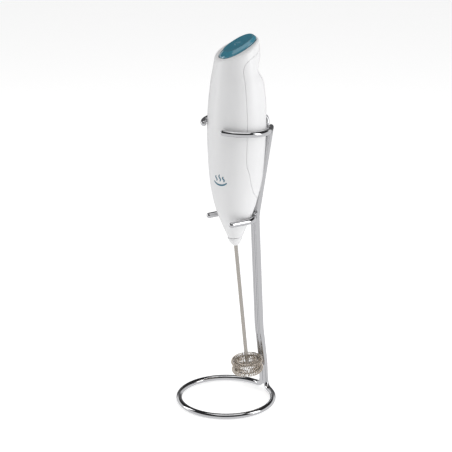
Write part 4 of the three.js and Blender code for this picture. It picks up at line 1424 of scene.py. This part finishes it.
@dataclass
class Whisk:
    """The shaft with its foot, and two rings of spring coil, each round its own ring of wire."""

    drive: DriveLine
    shaft_radius: float = 1.1 * MM
    radius: float = 9.6 * MM
    coil_radius: float = 2.3 * MM
    level: float = 2.45 * MM
    coil_wire: float = 0.24 * MM
    core_wire: float = 0.5 * MM
    loops: int = 42
    loop_steps: int = 16
    lean: float = 2.0
    foot_turn: float = 56.0
    foot_bend: float = 2.6 * MM

    def to_row(self, directions: Array) -> Array:
        """Turn directions given as (right, back, up the axis) into the row frame."""
        return directions @ np.stack([self.drive.side, self.drive.back, self.drive.axis])

    def ring(self, level: float, lean: float) -> Array:
        """Grid of spring wire wound into a closed ring.

        Formula: the wire's middle stands off a circle by the coil radius, in a direction
        that turns from outwards to upwards as the loops go round; the wire's own circle lies
        square to that path.

        Args:
            level: the ring's height above the whisk's centre, along the drive axis.
            lean: radians that the loops start ahead by.

        Returns:
            Array of rows by columns by 3.
        """
        turn = full_turn(self.loops * self.loop_steps)
        out = np.stack([np.cos(turn), np.sin(turn), 0 * turn], axis=-1)
        wind = (self.loops * turn + lean)[:, None]
        away = np.cos(wind) * out + np.sin(wind) * np.array([0.0, 0.0, 1.0])
        path = (self.radius - self.coil_radius) * out + (self.coil_radius - self.coil_wire) * away
        path[:, 2] += level - self.drive.shaft_length
        along = unit(np.roll(path, -1, axis=0) - np.roll(path, 1, axis=0))
        return self.drive.place(path[:, None] + self.coil_wire * circles(along, away, 8))

    def core(self, level: float) -> Array:
        """Plain ring of wire that a coil is threaded on.

        Formula: a torus about the drive axis.

        Args:
            level: the ring's height above the whisk's centre, along the drive axis.

        Returns:
            Array of rows by columns by 3.
        """
        section, turn = full_turn(12), full_turn(96)[:, None]
        reach = self.radius - self.coil_radius + self.core_wire * np.cos(section)
        height = level - self.drive.shaft_length + self.core_wire * np.sin(section)
        ring = [reach * np.cos(turn), reach * np.sin(turn), height + 0 * turn]
        return self.drive.place(np.stack(ring, axis=-1))

    def coils(self, name: str, level: float, lean: float) -> bpy.types.Object:
        """Make one ring: the coil and the wire inside it.

        Args:
            name: the piece's name.
            level: its height above the whisk's centre, along the drive axis.
            lean: radians that its loops start ahead by.

        Returns:
            The new object.
        """
        skin = Skin()
        skin.add_grid(self.ring(level, lean), ring=True)
        skin.add_grid(self.core(level)[:, ::-1], ring=True)
        return skin.to_object(name)

    def shaft(self) -> bpy.types.Object:
        """Make the shaft, which bends out into a foot that meets the coils.

        Formula: two straight runs with one bend, and a round section carried along them.

        Returns:
            The new object.
        """
        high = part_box("whisk_shaft")[1].z
        top = (high - self.drive.tip[2]) / self.drive.axis[2] - self.shaft_radius
        turn = math.radians(self.foot_turn)
        reach = self.radius - 2 * self.coil_radius - GAP
        foot = np.array([reach * math.cos(turn), reach * math.sin(turn), -self.drive.shaft_length])
        corners = [np.array([0, 0, top]), np.array([0, 0, -self.drive.shaft_length]), foot]
        path = softened(respaced(bent(corners, [self.foot_bend]), 0.4 * MM), 1.5)
        outward = np.repeat(np.array([[-math.sin(turn), math.cos(turn), 0.0]]), len(path), 0)
        skin = Skin()
        skin.add_tube(self.drive.place(path), self.to_row(outward), self.shaft_radius, 24)
        return skin.to_object("shaft_rod")

    def build(self, shop: Paintshop) -> None:
        """Make the shaft and the two coils."""
        shop.dress(self.shaft(), SHAFT, "whisk_steel", "whisk", "whisk_shaft")
        for name, level, lean in (("coil_upper", self.level, 0), ("coil_lower", -self.level, self.lean)):
            coils = self.coils(name, level, lean)
            shop.dress(coils, WHISK, "whisk_steel", "whisk", "whisk_" + name)


# ---- Studio -----------------------------------------------------------------------------------


@dataclass(frozen=True)
class Softbox:
    """One soft light: its place as seen from the camera, its size and its power."""

    name: str
    turn: float
    height: float
    size: tuple[float, float]
    power: float


@dataclass
class Studio:
    """Camera, floor, soft lights and the grey room that the chrome reflects."""

    azimuth: float = 56.0
    elevation: float = 17.37
    distance: float = 0.799
    aim: Direction = (-0.0003, -0.0006, 0.109)
    lens: float = 109.84
    floor_reach: float = 40.0
    floor_colour: tuple[float, ...] = (0.9, 0.9, 0.9, 1.0)
    floor_glow: float = 0.5
    light_aim: Direction = (0.0, 0.0, 0.12)
    light_distance: float = 0.9
    softboxes: tuple[Softbox, ...] = (
        Softbox("right_softbox", 72, 20, (0.34, 0.8), 2.7),
        Softbox("left_softbox", -100, 16, (0.26, 0.8), 1.7),
        Softbox("top_softbox", 10, 82, (0.8, 0.8), 2.2),
    )
    room_light: float = 0.47
    side_light: float = 0.2
    pale: tuple[float, ...] = (0.84, 0.84, 0.85, 1.0)
    dark: tuple[float, ...] = (0.03, 0.03, 0.032, 1.0)
    edge_height: float = 0.2
    edge_climb: float = 0.22
    edge_softness: float = 0.08
    curtain_edge: float = 0.88
    curtain_foot: float = -0.62
    curtain_depth: float = 0.9

    def stand_off(self, item: bpy.types.Object, centre: Direction, turn: float, height: float,
                  distance: float) -> None:
        """Stand a camera or light off a point and face it to that point.

        Args:
            item: the camera or light.
            centre: the point.
            turn: degrees round from the camera, to its right.
            height: degrees above the horizon.
            distance: metres from the point.
        """
        a, e = math.radians(self.azimuth + turn), math.radians(height)
        away = Vector((math.sin(a) * math.cos(e), -math.cos(a) * math.cos(e), math.sin(e)))
        item.location = Vector(centre) + away * distance
        item.rotation_mode = "QUATERNION"
        item.rotation_quaternion = (-away).to_track_quat("-Z", "Y")

    def camera(self) -> None:
        """Make the camera and set it as the scene's own."""
        data = bpy.data.cameras.new("camera")
        data.lens = self.lens
        data.sensor_width = 36.0
        data.clip_start, data.clip_end = 0.01, 3 * self.floor_reach
        item = linked("camera", data)
        self.stand_off(item, self.aim, 0, self.elevation, self.distance)
        bpy.context.scene.camera = item

    def floor(self) -> None:
        """Make the plain pale floor."""
        size, low = self.floor_reach, CAD_BOX[0].z
        corners = [(-size, -size, low), (size, -size, low), (size, size, low), (-size, size, low)]
        mesh = bpy.data.meshes.new("floor")
        mesh.from_pydata(corners, [], [(0, 1, 2, 3)])
        item = linked("floor", mesh)
        item.visible_glossy = False
        material = bpy.data.materials.new("floor")
        material.use_nodes = True
        maker = NodeMaker(material.node_tree)
        given = {"Base Color": self.floor_colour, "Roughness": 0.85,
                 "Emission Color": WHITE_LIGHT, "Emission Strength": self.floor_glow}
        for key, number in given.items():
            maker.feed(maker.shader.inputs[key], number)
        mesh.materials.append(material)

    def light(self, box: Softbox) -> None:
        """Make one soft light.

        Args:
            box: its place, size and power.
        """
        data = bpy.data.lights.new(box.name, "AREA")
        data.shape, data.energy = "RECTANGLE", box.power
        data.size, data.size_y = box.size
        item = linked(box.name, data)
        self.stand_off(item, self.light_aim, box.turn, box.height, self.light_distance)

    def room(self) -> None:
        """Make the room: soft white light, brighter from the right, and its own reflections.

        Formula: what shines in a mirror is pale low down and dark above an edge; the edge
        lies near the horizon towards the camera and climbs behind the object, and a dark
        curtain hangs straight behind it.
        """
        world = bpy.data.worlds.new("room")
        world.use_nodes = True
        bpy.context.scene.world = world
        world.node_tree.nodes.clear()
        maker = NodeMaker(world.node_tree)
        where = maker.node("ShaderNodeTexCoord", {}, {}).outputs["Generated"]
        turn = math.radians(self.azimuth)
        ahead = maker.along(where, (math.sin(turn), -math.cos(turn), 0.0))
        right = maker.along(where, (math.cos(turn), math.sin(turn), 0.0))
        height = maker.along(where, (0.0, 0.0, 1.0))
        curtain = (-1 * ahead).above(self.curtain_edge, self.edge_softness)
        curtain = curtain * height.above(self.curtain_foot, 0.1)
        dark = height.above(self.edge_height - self.edge_climb * ahead, self.edge_softness)
        dark = dark * (1 - curtain) + curtain * self.curtain_depth
        mirror = maker.blend(dark, self.pale, self.dark)
        glow = self.room_light + self.side_light * right
        soft, shine = (
            maker.node("ShaderNodeBackground", {}, {"Color": colour, "Strength": strength})
            for colour, strength in ((WHITE_LIGHT, glow), (mirror, 1.0)))
        glossy = maker.node("ShaderNodeLightPath", {}, {}).outputs["Is Glossy Ray"]
        mix = maker.node("ShaderNodeMixShader", {}, {0: glossy, 1: soft.outputs[0], 2: shine.outputs[0]})
        maker.node("ShaderNodeOutputWorld", {}, {"Surface": mix.outputs[0]})

    def build(self) -> None:
        """Set up the whole studio."""
        self.camera()
        self.floor()
        for box in self.softboxes:
            self.light(box)
        self.room()
        bpy.context.scene.view_settings.view_transform = "Standard"


def main() -> None:
    """Build every piece in order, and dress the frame."""
    logging.basicConfig(level=logging.INFO, format="%(name)s: %(message)s")
    Studio().build()
    shop = Paintshop()
    drive = DriveLine()
    form = HandleForm(drive)
    Stand(form).build(shop)
    Housing(form).build(shop)
    PushButton(form).build(shop)
    Nose(drive).build(shop)
    Whisk(drive).build(shop)
    shop.dress_frame()


if __name__ == "__main__":
    main()
